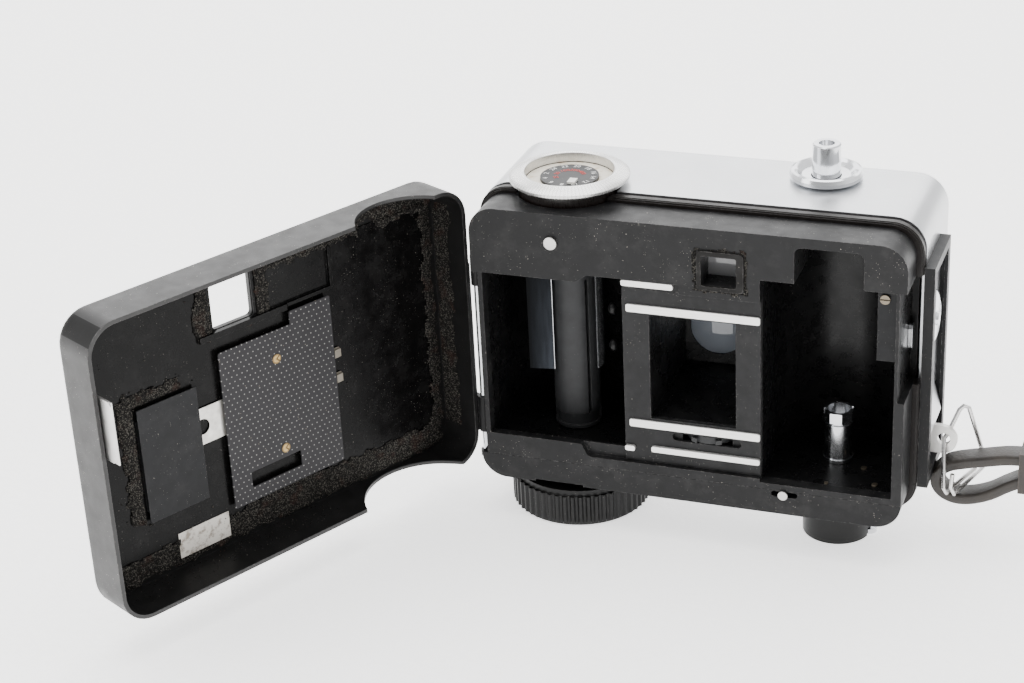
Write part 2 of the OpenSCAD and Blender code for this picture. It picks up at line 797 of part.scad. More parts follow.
// Flat eight-sided section: width along one side vector, thickness along the other.
flat_section = [
  [-0.5, -0.3], [-0.38, -0.5], [0.38, -0.5], [0.5, -0.3],
  [0.5, 0.3], [0.38, 0.5], [-0.38, 0.5], [-0.5, 0.3]
];
round_section = [for (i = [0:7]) [cos(i * 45), sin(i * 45)] / 2];

function unit(v) = v / norm(v);
function tangent(p, i) = unit(p[min(i + 1, len(p) - 1)] - p[max(i - 1, 0)]);
function turn(i, on) = on ? 90 * max(0, min(1, (i - twist_from) / (twist_to - twist_from))) : 0;
function flat_side(t, s) = unit(s - (s * t) * t);
function wide_side(t, s, a) = cos(a) * flat_side(t, s) + sin(a) * cross(t, flat_side(t, s));
function ring_points(p, i, form, w, h, s, twist) =
  let (t = tangent(p, i), u = wide_side(t, s, turn(i, twist)), n = cross(t, u))
  [for (q = form) p[i] + q[0] * w * u + q[1] * h * n];

// Sweeps a section along a route; s is the direction that its width starts along.
module swept(p, form, w, h, s, twist = false) {
  m = len(form);
  k = len(p);
  pts = [for (i = [0:k - 1]) each ring_points(p, i, form, w, h, s, twist)];
  walls = [for (i = [0:k - 2], j = [0:m - 1])
    [i * m + j, i * m + (j + 1) % m, (i + 1) * m + (j + 1) % m, (i + 1) * m + j]];
  first = [[for (j = [m - 1:-1:0]) j]];
  last = [[for (j = [0:m - 1]) (k - 1) * m + j]];
  polyhedron(points = pts, faces = concat(first, walls, last), convexity = 8);
}

module strap() {
  color([0.2, 0.14, 0.1]) swept(strap_route, flat_section, strap_w, strap_t, [0, 1, 0], true);
}

module strap_coil() {
  // turns of the strap wound on edge, one round the other
  color([0.22, 0.15, 0.1]) translate([coil_x, coil_y, stand_z]) rotate_extrude($fn = 64)
    translate([coil_r - coil_wide / 2, 0]) square([coil_wide, strap_w]);
}

module strap_keeper() {
  color([0.6, 0.6, 0.6]) difference() {
    bx(-66, -62.4, -3.1, 3.1, 4.4, 13);
    bx(-67, -61, -2.7, 2.7, 4.9, 12.5);
  }
}

// ---------- hinge ----------

module knuckle(z0, z1) {
  post(hinge_x, hinge_y, knuckle_r, z0, z1);
}

module hinge_knuckles() {
  color(black) difference() {
    union() {
      for (z = [[39.5, 45.8], [0.6, 1.9]]) {
        knuckle(z[0], z[1]);
        bx(half_w, hinge_x, 5.2, hinge_y - 0.2, z[0], z[1]);
      }
      bx(half_w, half_w + 0.5, 0.5, 7, 0.6, 45.8);
    }
    post(hinge_x, hinge_y, pin_r, 0.9, 45);
  }
}

module hinge_pin() {
  color(chrome) post(hinge_x, hinge_y, pin_r, 0.9, 45);
}

module door_hinge_leaf() {
  color(black) opened() difference() {
    union() {
      knuckle(6.4, 14.4);
      bx(half_w, hinge_x, 9, 14, 6.4, 14.4);
      bx(half_w, half_w + 0.45, 9.2, 14, 6.4, 44);
    }
    post(hinge_x, hinge_y, pin_r + run, 6, 15);
  }
}

// ---------- small body pins ----------

module reset_pin() {
  color(chrome) {
    rod_y(26, 54.2, 1.3, 14.4, face_y + 0.7);
  }
}

module release_pin() {
  color(chrome) {
    rod_y(-19.6, 5.5, 0.36, 14.2, face_y + 0.2);
    rod_y(-19.6, 5.5, 0.95, face_y + 0.1, face_y + 0.6);
  }
}

module latch_catch() {
  color(chrome) {
    for (z = [36, 39.2]) rod_x(6.7, z, 1.1, -41.95, -41.15);
    bx(-41.95, -41.15, 5.6, 7.8, 36, 39.2);
  }
}

// ---------- door ----------

module door_cuts() {
  // finder window, dial scoop, knob notch
  slab(rim_y, back_out_y + 1) round_rect(-11.6, -2.3, 46.5, 55.8, 0.9);
  post(wind_x, axis_y, 11.3, body_h - 3, body_h + 3);
  post(wind_x, axis_y, knob_cut_r, -3, 1.5);
}

module door_shell() {
  color(black) opened() difference() {
    soft_tray(-half_w, half_w, 0, body_h, rim_y, back_out_y, corner_r, 2, 1);
    slab(rim_y - 1, back_y)
      round_rect(-half_w + door_t, half_w - door_t, door_t, body_h - door_t, corner_r - door_t);
    door_cuts();
  }
}

module door_lining() {
  // thin black inner plate with the film guide bar, ribs and the channel edge of the foam
  color(black) opened() difference() {
    union() {
      slab(lining_y, back_y) round_rect(-40.2, 40.2, 5.6, 55.8, 3);
      bx(15.7, 16.4, 17.3, lining_y + 0.1, 46.2, 54.8);
      bx(5.2, 16, 17.3, lining_y + 0.1, 45.8, 46.5);
      bx(-15.3, 5, 17.2, lining_y + 0.1, 45.2, 46.4);
      rod_y(-11, 28.4, 3, spring_y + spring_t, lining_y + 0.1);
    }
    slab(14, 20) round_rect(-11.7, -2.2, 46.4, 55.9, 0.9);
  }
}

module door_hook() {
  color(chrome) opened() difference() {
    union() {
      bx(-42.7, -42.25, 5.6, 17.4, 35.3, 47.8);
      bx(-42.7, -40.4, 17.4, back_y, 35.3, 47.8);
    }
    translate([-43.5, 5.6, 35.3]) rotate([45, 0, 0]) cube([2, 2, 2], center = true);
    translate([-43.5, 5.6, 47.8]) rotate([45, 0, 0]) cube([2, 1, 1], center = true);
  }
}

module light_seals() {
  color(foam) opened() {
    difference() {
      union() {
        // round the finder window, over the cassette and under the cassette leaf
        slab(seal_y, lining_y) round_rect(-15.4, 0.6, 46.5, 55.7, 1);
        slab(seal_y, lining_y) round_rect(-36.5, -22.4, 53, 55.7, 1);
        slab(seal_y, lining_y) round_rect(-33.6, -19.2, 14, 39.6, 1.5);
      }
      slab(14, 20) round_rect(-12, -1.9, 46.1, 56.2, 1);
      slab(14, 20) round_rect(-31, -17, 10, 37.6, 1);
    }
    // channels along the top, the hinge side and the bottom
    slab(seal_y, back_y) round_rect(-38, 38, 55.9, 59.2, 1);
    slab(seal_y, back_y) round_rect(40.3, 42.9, 10, 55, 1);
    difference() {
      slab(seal_y, back_y) round_rect(-38, 38, 1.2, 4.35, 1);
      post(wind_x, axis_y, knob_cut_r + 0.1, -3, 3);
    }
  }
}

module pressure_plate() {
  color([0.45, 0.45, 0.46]) opened() difference() {
    slab(plate_y, plate_y + 0.3) union() {
      round_rect(-12.1, 14.8, 8.7, 42.3, 0.4);
      round_rect(4.9, 14.8, 30, 45, 0.4);
    }
    slab(15, 18) round_rect(-7.6, 4.5, 11.7, 15, 0.3);
  }
}

module plate_rivets() {
  color([0.7, 0.55, 0.3]) opened() for (z = [17, 36.4]) {
    rod_y(1, z, 1, plate_y - 0.12, plate_y + 0.7);
  }
}

module plate_spring() {
  // flat spring between the plate and the door's back, with its eye beside the plate
  color(chrome) opened() difference() {
    union() {
      slab(spring_y, spring_y + spring_t) round_rect(-19.2, 13, 24.7, 32.3, 0.6);
      slab(spring_y, spring_y + spring_t) round_rect(-3, 5, 15.3, 40, 0.6);
      for (z = [25.3, 30.7]) {
        slab(spring_y, spring_y + spring_t) round_rect(12, 16.7, z, z + 2.3, 0.3);
        bx(15.2, 16.7, plate_y + 0.4, spring_y + 0.01, z + 0.3, z + 2);
      }
    }
    rod_y(-16.8, 28.4, 1.6, 16, 19);
    for (z = [17, 36.4]) rod_y(1, z, 1.15, 16, 19);
  }
}

module cassette_leaf() {
  color([0.2, 0.2, 0.21]) opened() {
    bx(-30.9, -17.5, 17.1, 17.4, 13.6, 37.4);
    bx(-30.9, -30.5, 17.3, lining_y, 16, 35);
  }
}

// ---------- output ----------

outer_shell();
edge_band();
rear_frame();
take_up_well();
cassette_well();
light_tunnel();
bottom_cover();
front_panel();
lens_barrel();
lens_front_glass();
lens_rear_glass();
shutter_plate();
shutter_blade_a();
shutter_blade_b();
meter_window();
finder_front_window();
eyepiece_frame();
eyepiece_seal();
finder_glass();
gate_plate();
film_rails();
film_arm();
cassette_guide();
small_screws();
shoe_frame();
shoe_plate();
shoe_contact();
strap_lug();
split_ring();
strap();
strap_coil();
strap_keeper();
hinge_knuckles();
hinge_pin();
button_collar();
shutter_button();
tripod_bush();
dial_ring();
dial_floor();
counter_disc();
wind_knob();
wind_shaft();
spring_barrel();
take_up_spool();
sprocket();
rewind_fork();
rewind_knob();
rewind_crank();
reset_pin();
release_pin();
latch_catch();
door_shell();
door_lining();
door_hinge_leaf();
door_hook();
light_seals();
pressure_plate();
plate_rivets();
plate_spring();
cassette_leaf();
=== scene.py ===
import math
import random

import bmesh
import bpy
from mathutils import Matrix, Vector, noise


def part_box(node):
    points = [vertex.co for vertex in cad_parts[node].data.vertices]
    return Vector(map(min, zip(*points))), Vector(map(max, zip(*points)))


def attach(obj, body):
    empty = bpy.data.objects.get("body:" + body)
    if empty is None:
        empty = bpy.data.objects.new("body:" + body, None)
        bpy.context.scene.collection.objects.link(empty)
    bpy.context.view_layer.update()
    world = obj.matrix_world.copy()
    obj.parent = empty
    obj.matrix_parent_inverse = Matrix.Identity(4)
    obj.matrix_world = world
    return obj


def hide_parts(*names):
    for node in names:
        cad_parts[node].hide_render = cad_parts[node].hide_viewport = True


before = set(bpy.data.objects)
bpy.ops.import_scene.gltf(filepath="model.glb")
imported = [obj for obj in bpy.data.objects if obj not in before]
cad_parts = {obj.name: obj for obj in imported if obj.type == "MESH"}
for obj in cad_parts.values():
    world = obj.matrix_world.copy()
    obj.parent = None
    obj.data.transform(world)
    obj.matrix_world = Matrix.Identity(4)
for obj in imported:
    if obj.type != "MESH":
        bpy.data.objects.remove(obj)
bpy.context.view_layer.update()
MM = 0.001
rng = random.Random(7)

# ---------------------------------------------------------------- camera

CAMERA_AT = Vector((-106.82, 383.56, 224.41)) * MM
CAMERA_AZIMUTH = math.radians(-158.85)
CAMERA_ELEVATION = math.radians(26.08)
CAMERA_ROLL = math.radians(-3.07)
CAMERA_LENS = 78.23


def make_camera():
    """A camera behind the body, looking down at the open back."""
    data = bpy.data.cameras.new("camera")
    data.lens = CAMERA_LENS
    data.sensor_width = 36
    data.clip_start, data.clip_end = 0.01, 20
    camera = bpy.data.objects.new("camera", data)
    bpy.context.scene.collection.objects.link(camera)
    back = Vector((
        math.sin(CAMERA_AZIMUTH) * math.cos(CAMERA_ELEVATION),
        -math.cos(CAMERA_AZIMUTH) * math.cos(CAMERA_ELEVATION),
        math.sin(CAMERA_ELEVATION),
    ))
    right = Vector((0, 0, 1)).cross(back).normalized()
    level = Matrix((right, back.cross(right), back)).transposed().to_4x4()
    camera.matrix_world = Matrix.Translation(CAMERA_AT) @ level @ Matrix.Rotation(CAMERA_ROLL, 4, "Z")
    bpy.context.scene.camera = camera


make_camera()

# ---------------------------------------------------------------- places

# the body's own frame: x towards the hinge, y out of its open back, z up; the door's pieces are drawn shut
FLOOR_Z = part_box("wind_knob")[0][2]
HINGE = Vector((45.2, 8.2, 0)) * MM
DOOR_OPEN = math.radians(117.4)
TO_OPEN = Matrix.Translation(HINGE) @ Matrix.Rotation(-DOOR_OPEN, 4, "Z") @ Matrix.Translation(-HINGE)
REAR_FACE_Y = 17.0
LINING_Y = 18.0
CHANNEL_Y = 18.4
DIAL = (26.4, 3.4)
DISC_Z = 62.6

# ---------------------------------------------------------------- mesh helpers


def new_object(name, data, body, replaced=()):
    """Links a new piece, ties it to its body and hides the CAD nodes it stands for."""
    obj = bpy.data.objects.new(name, data)
    bpy.context.scene.collection.objects.link(obj)
    if replaced:
        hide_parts(*replaced)
    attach(obj, body)
    return obj


def mesh_from(bm, name, matrix=None, smooth=True):
    """A mesh from a bmesh in millimetres."""
    bmesh.ops.scale(bm, vec=(MM, MM, MM), verts=bm.verts)
    if matrix is not None:
        bmesh.ops.transform(bm, matrix=matrix, verts=bm.verts)
    bmesh.ops.recalc_face_normals(bm, faces=bm.faces)
    data = bpy.data.meshes.new(name)
    bm.to_mesh(data)
    bm.free()
    for face in data.polygons:
        face.use_smooth = smooth
    return data


def sweep(bm, path, section, side):
    """Sweeps a closed section along path; side(i, tangent) gives the direction of its width."""
    rings = []
    last = len(path) - 1
    for i, point in enumerate(path):
        tangent = (path[min(i + 1, last)] - path[max(i - 1, 0)]).normalized()
        wide = side(i, tangent)
        thick = tangent.cross(wide)
        rings.append([bm.verts.new(point + wide * a + thick * b) for a, b in section])
    count = len(section)
    for low, high in zip(rings, rings[1:]):
        for k in range(count):
            bm.faces.new((low[k], low[(k + 1) % count], high[(k + 1) % count], high[k]))
    bm.faces.new(rings[0][::-1])
    bm.faces.new(rings[-1])


def smooth_path(points, steps):
    """Catmull-Rom curve through the points."""
    out = []
    for i in range(len(points) - 1):
        p0 = points[max(i - 1, 0)]
        p1, p2 = points[i], points[i + 1]
        p3 = points[min(i + 2, len(points) - 1)]
        for k in range(steps):
            t = k / steps
            out.append(0.5 * (2 * p1 + (p2 - p0) * t + (2 * p0 - 5 * p1 + 4 * p2 - p3) * t * t
                              + (3 * p1 - p0 - 3 * p2 + p3) * t ** 3))
    out.append(points[-1])
    return out


# ---------------------------------------------------------------- strap

STRAP_WIDTH = 5.0
STRAP_THICK = 2.2
STRAP_ROUNDING = 0.6
STRAP_ON_EDGE_Z = -5.8
STRAP_ROUTE = [
    (-67.5, 0, 11.2), (-64, 0, 11.1), (-60, 0, 10.8), (-56, 0, 9.9), (-52, 0, 8.9),
    (-48.8, 0, 7.8), (-46.9, 0, 6), (-46.6, 0, 3.7), (-48, 0, 1.8), (-50.5, 0, 0.9),
    (-53.5, 0, 1.2), (-57, 0, 2.6), (-60.5, 0, 4.9), (-64, 0, 6.6), (-68, 0, 6.5),
    (-72, 0, 4.7), (-76, 0, 1.8), (-80, 0, -1.3), (-84, 0.1, -3.9), (-88, 0.4, -5.4),
    (-92, 1, STRAP_ON_EDGE_Z), (-96, 2, STRAP_ON_EDGE_Z), (-100, 3.5, STRAP_ON_EDGE_Z),
]
ROUTE_STEPS = 6
TWIST_FROM, TWIST_TO = 15 * ROUTE_STEPS, 20 * ROUTE_STEPS
COIL_AT = (-111.5, -21.5)
COIL_TURNS = 1.25
COIL_RADIUS = 27.5
COIL_PITCH = 2.5
COIL_STEPS = 48


def coil_points():
    """Turns of the strap on edge, each inside the last, starting where the route ends."""
    x, y = COIL_AT
    start = math.atan2(STRAP_ROUTE[-1][1] - y, STRAP_ROUTE[-1][0] - x)
    points = []
    for i in range(1, int(COIL_TURNS * COIL_STEPS) + 1):
        turned = i / COIL_STEPS
        radius = COIL_RADIUS - COIL_PITCH * turned
        angle = start + math.tau * turned
        points.append(Vector((x + radius * math.cos(angle), y + radius * math.sin(angle), STRAP_ON_EDGE_Z)))
    return points


def strap_section():
    """Flat section with round edges."""
    r = STRAP_ROUNDING
    w, t = STRAP_WIDTH / 2 - r, STRAP_THICK / 2 - r
    points = []
    for x, y, turned in ((w, t, 0), (-w, t, 90), (-w, -t, 180), (w, -t, 270)):
        for step in (0, 30, 60, 90):
            angle = math.radians(turned + step)
            points.append((x + r * math.cos(angle), y + r * math.sin(angle)))
    return points


def make_strap():
    """The strap in one length, from its tail in the keeper to its end in the coil."""
    route = smooth_path([Vector(p) for p in STRAP_ROUTE], ROUTE_STEPS) + coil_points()
    across, down = Vector((0, 1, 0)), Vector((0, 0, -1))

    def side(i, tangent):
        """Direction of the strap's width: level at first, then turned to stand on edge."""
        if i > TWIST_TO:
            return down - tangent * tangent.dot(down)
        angle = math.radians(90) * max(0.0, min(1.0, (i - TWIST_FROM) / (TWIST_TO - TWIST_FROM)))
        flat = (across - tangent * tangent.dot(across)).normalized()
        return flat * math.cos(angle) + tangent.cross(flat) * math.sin(angle)

    bm = bmesh.new()
    sweep(bm, route, strap_section(), side)
    data = mesh_from(bm, "strap_leather")
    strap = new_object("strap_leather", data, "body", ("strap", "strap_coil"))
    path = [p * MM for p in route]
    length = sum((b - a).length for a, b in zip(path, path[1:]))
    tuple(path[0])
    return strap


strap = make_strap()

# ---------------------------------------------------------------- material helpers


class Surface:
    """A material being built: shortcuts for its nodes, in object coordinates counted in millimetres."""

    def __init__(self, name):
        self.material = bpy.data.materials.new(name)
        self.material.use_nodes = True
        self.nodes = self.material.node_tree.nodes
        self.links = self.material.node_tree.links
        self.shader = self.nodes["Principled BSDF"]
        coords = self.node("ShaderNodeTexCoord")
        scale = self.node("ShaderNodeVectorMath", operation="SCALE")
        scale.inputs["Scale"].default_value = 1000
        self.link(coords.outputs["Object"], scale.inputs[0])
        self.place = scale.outputs[0]

    def node(self, kind, **settings):
        """A new node of a kind."""
        made = self.nodes.new(kind)
        for key, value in settings.items():
            setattr(made, key, value)
        return made

    def link(self, source, target):
        """Links an output to an input."""
        self.links.new(source, target)

    def noise(self, per_mm, detail=4.0, rough=0.55, stretch=None):
        """Noise with so many features a millimetre; stretch scales each axis."""
        tex = self.node("ShaderNodeTexNoise")
        tex.inputs["Scale"].default_value = per_mm
        tex.inputs["Detail"].default_value = detail
        tex.inputs["Roughness"].default_value = rough
        place = self.place
        if stretch:
            mapping = self.node("ShaderNodeMapping")
            mapping.inputs["Scale"].default_value = stretch
            self.link(place, mapping.inputs["Vector"])
            place = mapping.outputs[0]
        self.link(place, tex.inputs["Vector"])
        return tex.outputs["Fac"]

    def spots(self, per_mm, size):
        """1 inside small scattered spots, 0 elsewhere."""
        tex = self.node("ShaderNodeTexVoronoi")
        tex.inputs["Scale"].default_value = per_mm
        tex.inputs["Randomness"].default_value = 1
        self.link(self.place, tex.inputs["Vector"])
        picked = self.math("GREATER_THAN", self.red(tex.outputs["Color"]), 0.8)
        near = self.math("LESS_THAN", tex.outputs["Distance"], size)
        return self.math("MULTIPLY", picked, near)

    def red(self, colour):
        """The first channel of a colour, a random number where the colour is a cell's."""
        split = self.node("ShaderNodeSeparateColor")
        self.link(colour, split.inputs[0])
        return split.outputs[0]

    def axes(self, place=None):
        """X, Y and Z of a place, which is the object's own unless one is given."""
        split = self.node("ShaderNodeSeparateXYZ")
        self.link(self.place if place is None else place, split.inputs[0])
        return split.outputs

    def closed_door(self):
        """X, Y and Z of a piece of the door as they are with the door shut."""
        moved = self.node("ShaderNodeVectorMath", operation="SUBTRACT")
        moved.inputs[1].default_value = tuple(HINGE / MM)
        self.link(self.place, moved.inputs[0])
        spun = self.node("ShaderNodeVectorRotate", rotation_type="Z_AXIS")
        spun.inputs["Angle"].default_value = DOOR_OPEN
        self.link(moved.outputs[0], spun.inputs["Vector"])
        back = self.node("ShaderNodeVectorMath", operation="ADD")
        back.inputs[1].default_value = tuple(HINGE / MM)
        self.link(spun.outputs[0], back.inputs[0])
        return self.axes(back.outputs[0])

    def math(self, operation, a, b=None, clamp=False):
        """One sum; a and b are each a number or a socket."""
        made = self.node("ShaderNodeMath", operation=operation, use_clamp=clamp)
        for socket, value in zip(made.inputs, (a, b)):
            if value is None:
                continue
            if isinstance(value, (int, float)):
                socket.default_value = value
            else:
                self.link(value, socket)
        return made.outputs[0]

    def times(self, *factors):
        """The product of two or more factors."""
        product = factors[0]
        for factor in factors[1:]:
            product = self.math("MULTIPLY", product, factor)
        return product

    def distance(self, a, b):
        """How far two lengths at a right angle reach together."""
        return self.math("SQRT", self.math("ADD", self.math("POWER", a, 2), self.math("POWER", b, 2)))

    def away(self, value, middle):
        """How far value is from middle, on either side."""
        return self.math("ABSOLUTE", self.math("SUBTRACT", value, middle))

    def span(self, value, low, high, to_low=0.0, to_high=1.0):
        """Maps value from low..high to to_low..to_high, held at the ends."""
        made = self.node("ShaderNodeMapRange")
        made.inputs["From Min"].default_value = low
        made.inputs["From Max"].default_value = high
        made.inputs["To Min"].default_value = to_low
        made.inputs["To Max"].default_value = to_high
        self.link(value, made.inputs["Value"])
        return made.outputs["Result"]

    def mix(self, factor, a, b):
        """Colour a where factor is 0 and b where it is 1; each a colour or a socket."""
        made = self.node("ShaderNodeMix", data_type="RGBA")
        for socket, value in zip((made.inputs[0], made.inputs[6], made.inputs[7]), (factor, a, b)):
            if isinstance(value, (int, float)):
                socket.default_value = value
            elif isinstance(value, (tuple, list)):
                socket.default_value = (*value, 1)
            else:
                self.link(value, socket)
        return made.outputs[2]

    def edges(self, radius, full=0.25):
        """1 on edges within radius millimetres, where the face turns by as much as full, 0 on flat faces."""
        soft = self.node("ShaderNodeBevel", samples=4)
        soft.inputs["Radius"].default_value = radius * MM
        true = self.node("ShaderNodeNewGeometry")
        dot = self.node("ShaderNodeVectorMath", operation="DOT_PRODUCT")
        self.link(soft.outputs[0], dot.inputs[0])
        self.link(true.outputs["Normal"], dot.inputs[1])
        turned = self.math("SUBTRACT", 1.0, dot.outputs["Value"])
        return self.span(turned, 0.02, full)

    def bump(self, heights, round_edge=0.0):
        """Stacks bumps, each (height socket, distance in millimetres, strength), over rounded edges."""
        normal = None
        if round_edge:
            soft = self.node("ShaderNodeBevel", samples=6)
            soft.inputs["Radius"].default_value = round_edge * MM
            normal = soft.outputs[0]
        for height, distance, strength in heights:
            made = self.node("ShaderNodeBump")
            made.inputs["Strength"].default_value = strength
            made.inputs["Distance"].default_value = distance * MM
            self.link(height, made.inputs["Height"])
            if normal is not None:
                self.link(normal, made.inputs["Normal"])
            normal = made.outputs[0]
        if normal is not None:
            self.link(normal, self.shader.inputs["Normal"])

    def set(self, **values):
        """Sets shader inputs by their names with _ for spaces; a socket is linked."""
        for key, value in values.items():
            socket = self.shader.inputs[key.replace("_", " ")]
            if isinstance(value, (int, float)):
                socket.default_value = value
            elif isinstance(value, (tuple, list)):
                socket.default_value = (*value, 1) if len(value) == 3 else value
            else:
                self.link(value, socket)


# ---------------------------------------------------------------- paints and metals

TRAY_HALF_WIDTH = 43.3
TRAY_HALF_HEIGHT = 29.9
TRAY_MIDDLE_Z = 30.55
TRAY_Y = (9.1, 18.6)


def door_inside(s):
    """1 on the inner faces of the door's tray, 0 on its rim and outside."""
    across, through, up = s.closed_door()
    return s.times(
        s.math("LESS_THAN", s.math("ABSOLUTE", across), TRAY_HALF_WIDTH),
        s.math("LESS_THAN", through, TRAY_Y[1]),
        s.math("LESS_THAN", s.away(up, TRAY_MIDDLE_Z), TRAY_HALF_HEIGHT),
        s.math("GREATER_THAN", through, TRAY_Y[0]),
    )


def black_paint(name, tone, dust, sheen=0.42, wear=0.5, gloss=0.28, tray=False):
    """Semi-matt black paint: fine grain, dust, smears and worn edges; with tray, darker inside the door."""
    s = Surface(name)
    mottled = s.noise(0.35, 6)
    fine = s.noise(6, 3)
    colour = s.mix(s.span(mottled, 0.35, 0.7), tone, tuple(v * 1.6 for v in tone))
    rubbed = s.times(s.edges(0.25), s.span(s.noise(1.4, 5), 0.45, 0.75, 0.0, wear))
    colour = s.mix(rubbed, colour, (0.32, 0.31, 0.3))
    film = s.span(s.noise(0.22, 6, 0.7), 0.5, 0.85, 0.0, 0.12 * dust)
    colour = s.mix(film, colour, (0.16, 0.155, 0.15))
    specks = s.times(s.spots(1.1, 0.09), s.span(s.noise(0.12, 3), 0.4, 0.65))
    small = s.times(s.spots(3.2, 0.14), s.span(s.noise(0.2, 3), 0.42, 0.62))
    dirt = s.math("MULTIPLY", s.math("MAXIMUM", specks, small), dust, clamp=True)
    colour = s.mix(dirt, colour, (0.5, 0.46, 0.41))
    if tray:
        within = door_inside(s)
        colour = s.mix(s.times(within, 0.75), colour, (0.004, 0.004, 0.004))
        gloss = s.span(within, 0, 1, gloss, gloss * 0.4)
    s.set(Base_Color=colour, Specular_IOR_Level=gloss)
    s.set(Roughness=s.span(mottled, 0.3, 0.75, sheen - 0.08, sheen + 0.12))
    s.bump([(fine, 0.03, 0.35), (mottled, 0.15, 0.15), (dirt, 0.05, 0.3)], 0.12)
    return s.material


def satin_metal(name, tone, rough):
    """Satin aluminium: a fine brushed grain, a few scratches and faint stains."""
    s = Surface(name)
    grain = s.noise(1.0, 4, 0.6, (0.4, 8, 8))
    stain = s.noise(0.08, 5)
    marks = s.span(s.noise(0.9, 8, 0.75, (0.15, 3, 3)), 0.63, 0.7, 0, 0.25)
    colour = s.mix(s.span(stain, 0.3, 0.75), tone, tuple(v * 0.9 for v in tone))
    colour = s.mix(marks, colour, tuple(v * 0.72 for v in tone))
    s.set(Base_Color=colour, Metallic=1.0)
    s.set(Roughness=s.span(grain, 0.25, 0.75, rough - 0.07, rough + 0.1))
    s.bump([(grain, 0.01, 0.2)], 0.15)
    return s.material


def polished(name, tone, rough, pits=0.3, edge=0.1):
    """Chrome or bright steel with faint smears, pits and softened edges."""
    s = Surface(name)
    smear = s.noise(0.5, 5)
    pit = s.times(s.spots(1.6, 0.1), pits)
    colour = s.mix(s.span(smear, 0.35, 0.75, 0, 0.35), tone, tuple(v * 0.7 for v in tone))
    colour = s.mix(pit, colour, (0.16, 0.12, 0.09))
    s.set(Base_Color=colour, Metallic=1.0)
    s.set(Roughness=s.span(smear, 0.3, 0.7, rough, rough + 0.14))
    s.bump([(s.noise(2.5, 3), 0.01, 0.15)], edge)
    return s.material


# places that a surface's pattern or painted reflection follows, in millimetres on the closed camera
ARM_TOP_Z, ARM_FOOT_Z = 46, 24
ARM_FAR_X, ARM_NEAR_X = 34.2, 29.8
ARM_EDGE_X = 29.55
SPRING_TAB_X = 13.0
RIVET_X = 1
RIVET_LOW_Z = 17.0
RIVET_SPACING = 19.4
RIVET_SLOT = 0.22
RIVET_RIM = (0.62, 0.85)


def arm_steel(name):
    """Spring sheet of the take-up spool: its colour is a painted reflection, near black and brightening
    towards its foot and its edge, with a pale strip along the edge itself.
    """
    s = Surface(name)
    across, _, up = s.axes()
    # painted reflection: near black at the top, brightening towards the sheet's foot and its near side,
    # streaked by noise
    foot = s.span(up, ARM_TOP_Z, ARM_FOOT_Z, 0.12, 1.0)
    side = s.span(across, ARM_FAR_X, ARM_NEAR_X, 0.05, 1.0)
    smear = s.span(s.noise(0.5, 4, 0.5, (2.5, 2.5, 0.3)), 0.3, 0.7, 0.6, 1.2)
    light = s.math("MULTIPLY", s.times(foot, side), smear, clamp=True)
    colour = s.mix(light, (0.003, 0.0032, 0.0035), (0.022, 0.025, 0.03))
    # a pale strip along the sheet's edge, where the dark painted reflection stops
    colour = s.mix(s.math("LESS_THAN", across, ARM_EDGE_X), colour, (0.5, 0.51, 0.53))
    s.set(Base_Color=colour, Metallic=0.9, Roughness=0.25, Specular_IOR_Level=0.1)
    s.bump([(s.noise(1.2, 3, 0.5, (2, 2, 0.4)), 0.02, 0.2)])
    return s.material


def spring_steel(name):
    """Pale leaf of the plate's spring, dulled and brown where its tabs stand past the plate."""
    s = Surface(name)
    tabs = s.math("GREATER_THAN", s.closed_door()[0], SPRING_TAB_X)
    smear = s.noise(0.7, 5)
    colour = s.mix(s.span(smear, 0.35, 0.7), (0.74, 0.72, 0.68), (0.56, 0.54, 0.5))
    colour = s.mix(tabs, colour, (0.2, 0.18, 0.15))
    s.set(Base_Color=colour, Metallic=0.8, Roughness=s.span(smear, 0.3, 0.7, 0.3, 0.5))
    s.bump([(s.noise(2.5, 3), 0.02, 0.2)], 0.08)
    return s.material


def rivet_brass(name):
    """Dull brass heads with a dark slanting slot and a darker rim."""
    s = Surface(name)
    half = RIVET_SPACING / 2
    across, _, up = s.closed_door()
    across = s.math("SUBTRACT", across, RIVET_X)
    # folds both heads onto one, so that up counts from the middle of either
    up = s.math("SUBTRACT", s.math("PINGPONG", s.math("SUBTRACT", up, RIVET_LOW_Z - half), half), half)
    slot = s.math("LESS_THAN", s.math("ABSOLUTE", s.math("ADD", across, up)), RIVET_SLOT)
    rim = s.span(s.distance(across, up), *RIVET_RIM)
    dark = s.math("MAXIMUM", s.times(slot, 0.8), s.times(rim, 0.6))
    smear = s.noise(1.5, 4)
    colour = s.mix(s.span(smear, 0.3, 0.7), (0.5, 0.36, 0.17), (0.36, 0.25, 0.11))
    s.set(Base_Color=s.mix(dark, colour, (0.05, 0.03, 0.015)), Metallic=0.9)
    s.set(Roughness=s.span(smear, 0.3, 0.7, 0.3, 0.45))
    s.bump([(dark, 0.1, -0.5), (smear, 0.02, 0.2)], 0.1)
    return s.material


def rail_metal(name):
    """Bare ground rail, polished by film: fine lengthwise grain and nicks along the edges."""
    s = Surface(name)
    grain = s.noise(1.0, 5, 0.6, (0.3, 9, 9))
    nicks = s.span(s.noise(2.2, 6), 0.6, 0.68)
    rim = s.times(s.edges(0.2), nicks)
    colour = s.mix(s.span(grain, 0.3, 0.7), (0.93, 0.92, 0.9), (0.8, 0.79, 0.77))
    colour = s.mix(rim, colour, (0.12, 0.11, 0.1))
    s.set(Base_Color=colour, Metallic=0.75, Roughness=s.span(grain, 0.3, 0.7, 0.32, 0.5))
    s.bump([(grain, 0.02, 0.3)], 0.08)
    return s.material


DIMPLE_PITCH = 1.2
DIMPLE_STRETCH = 1.9


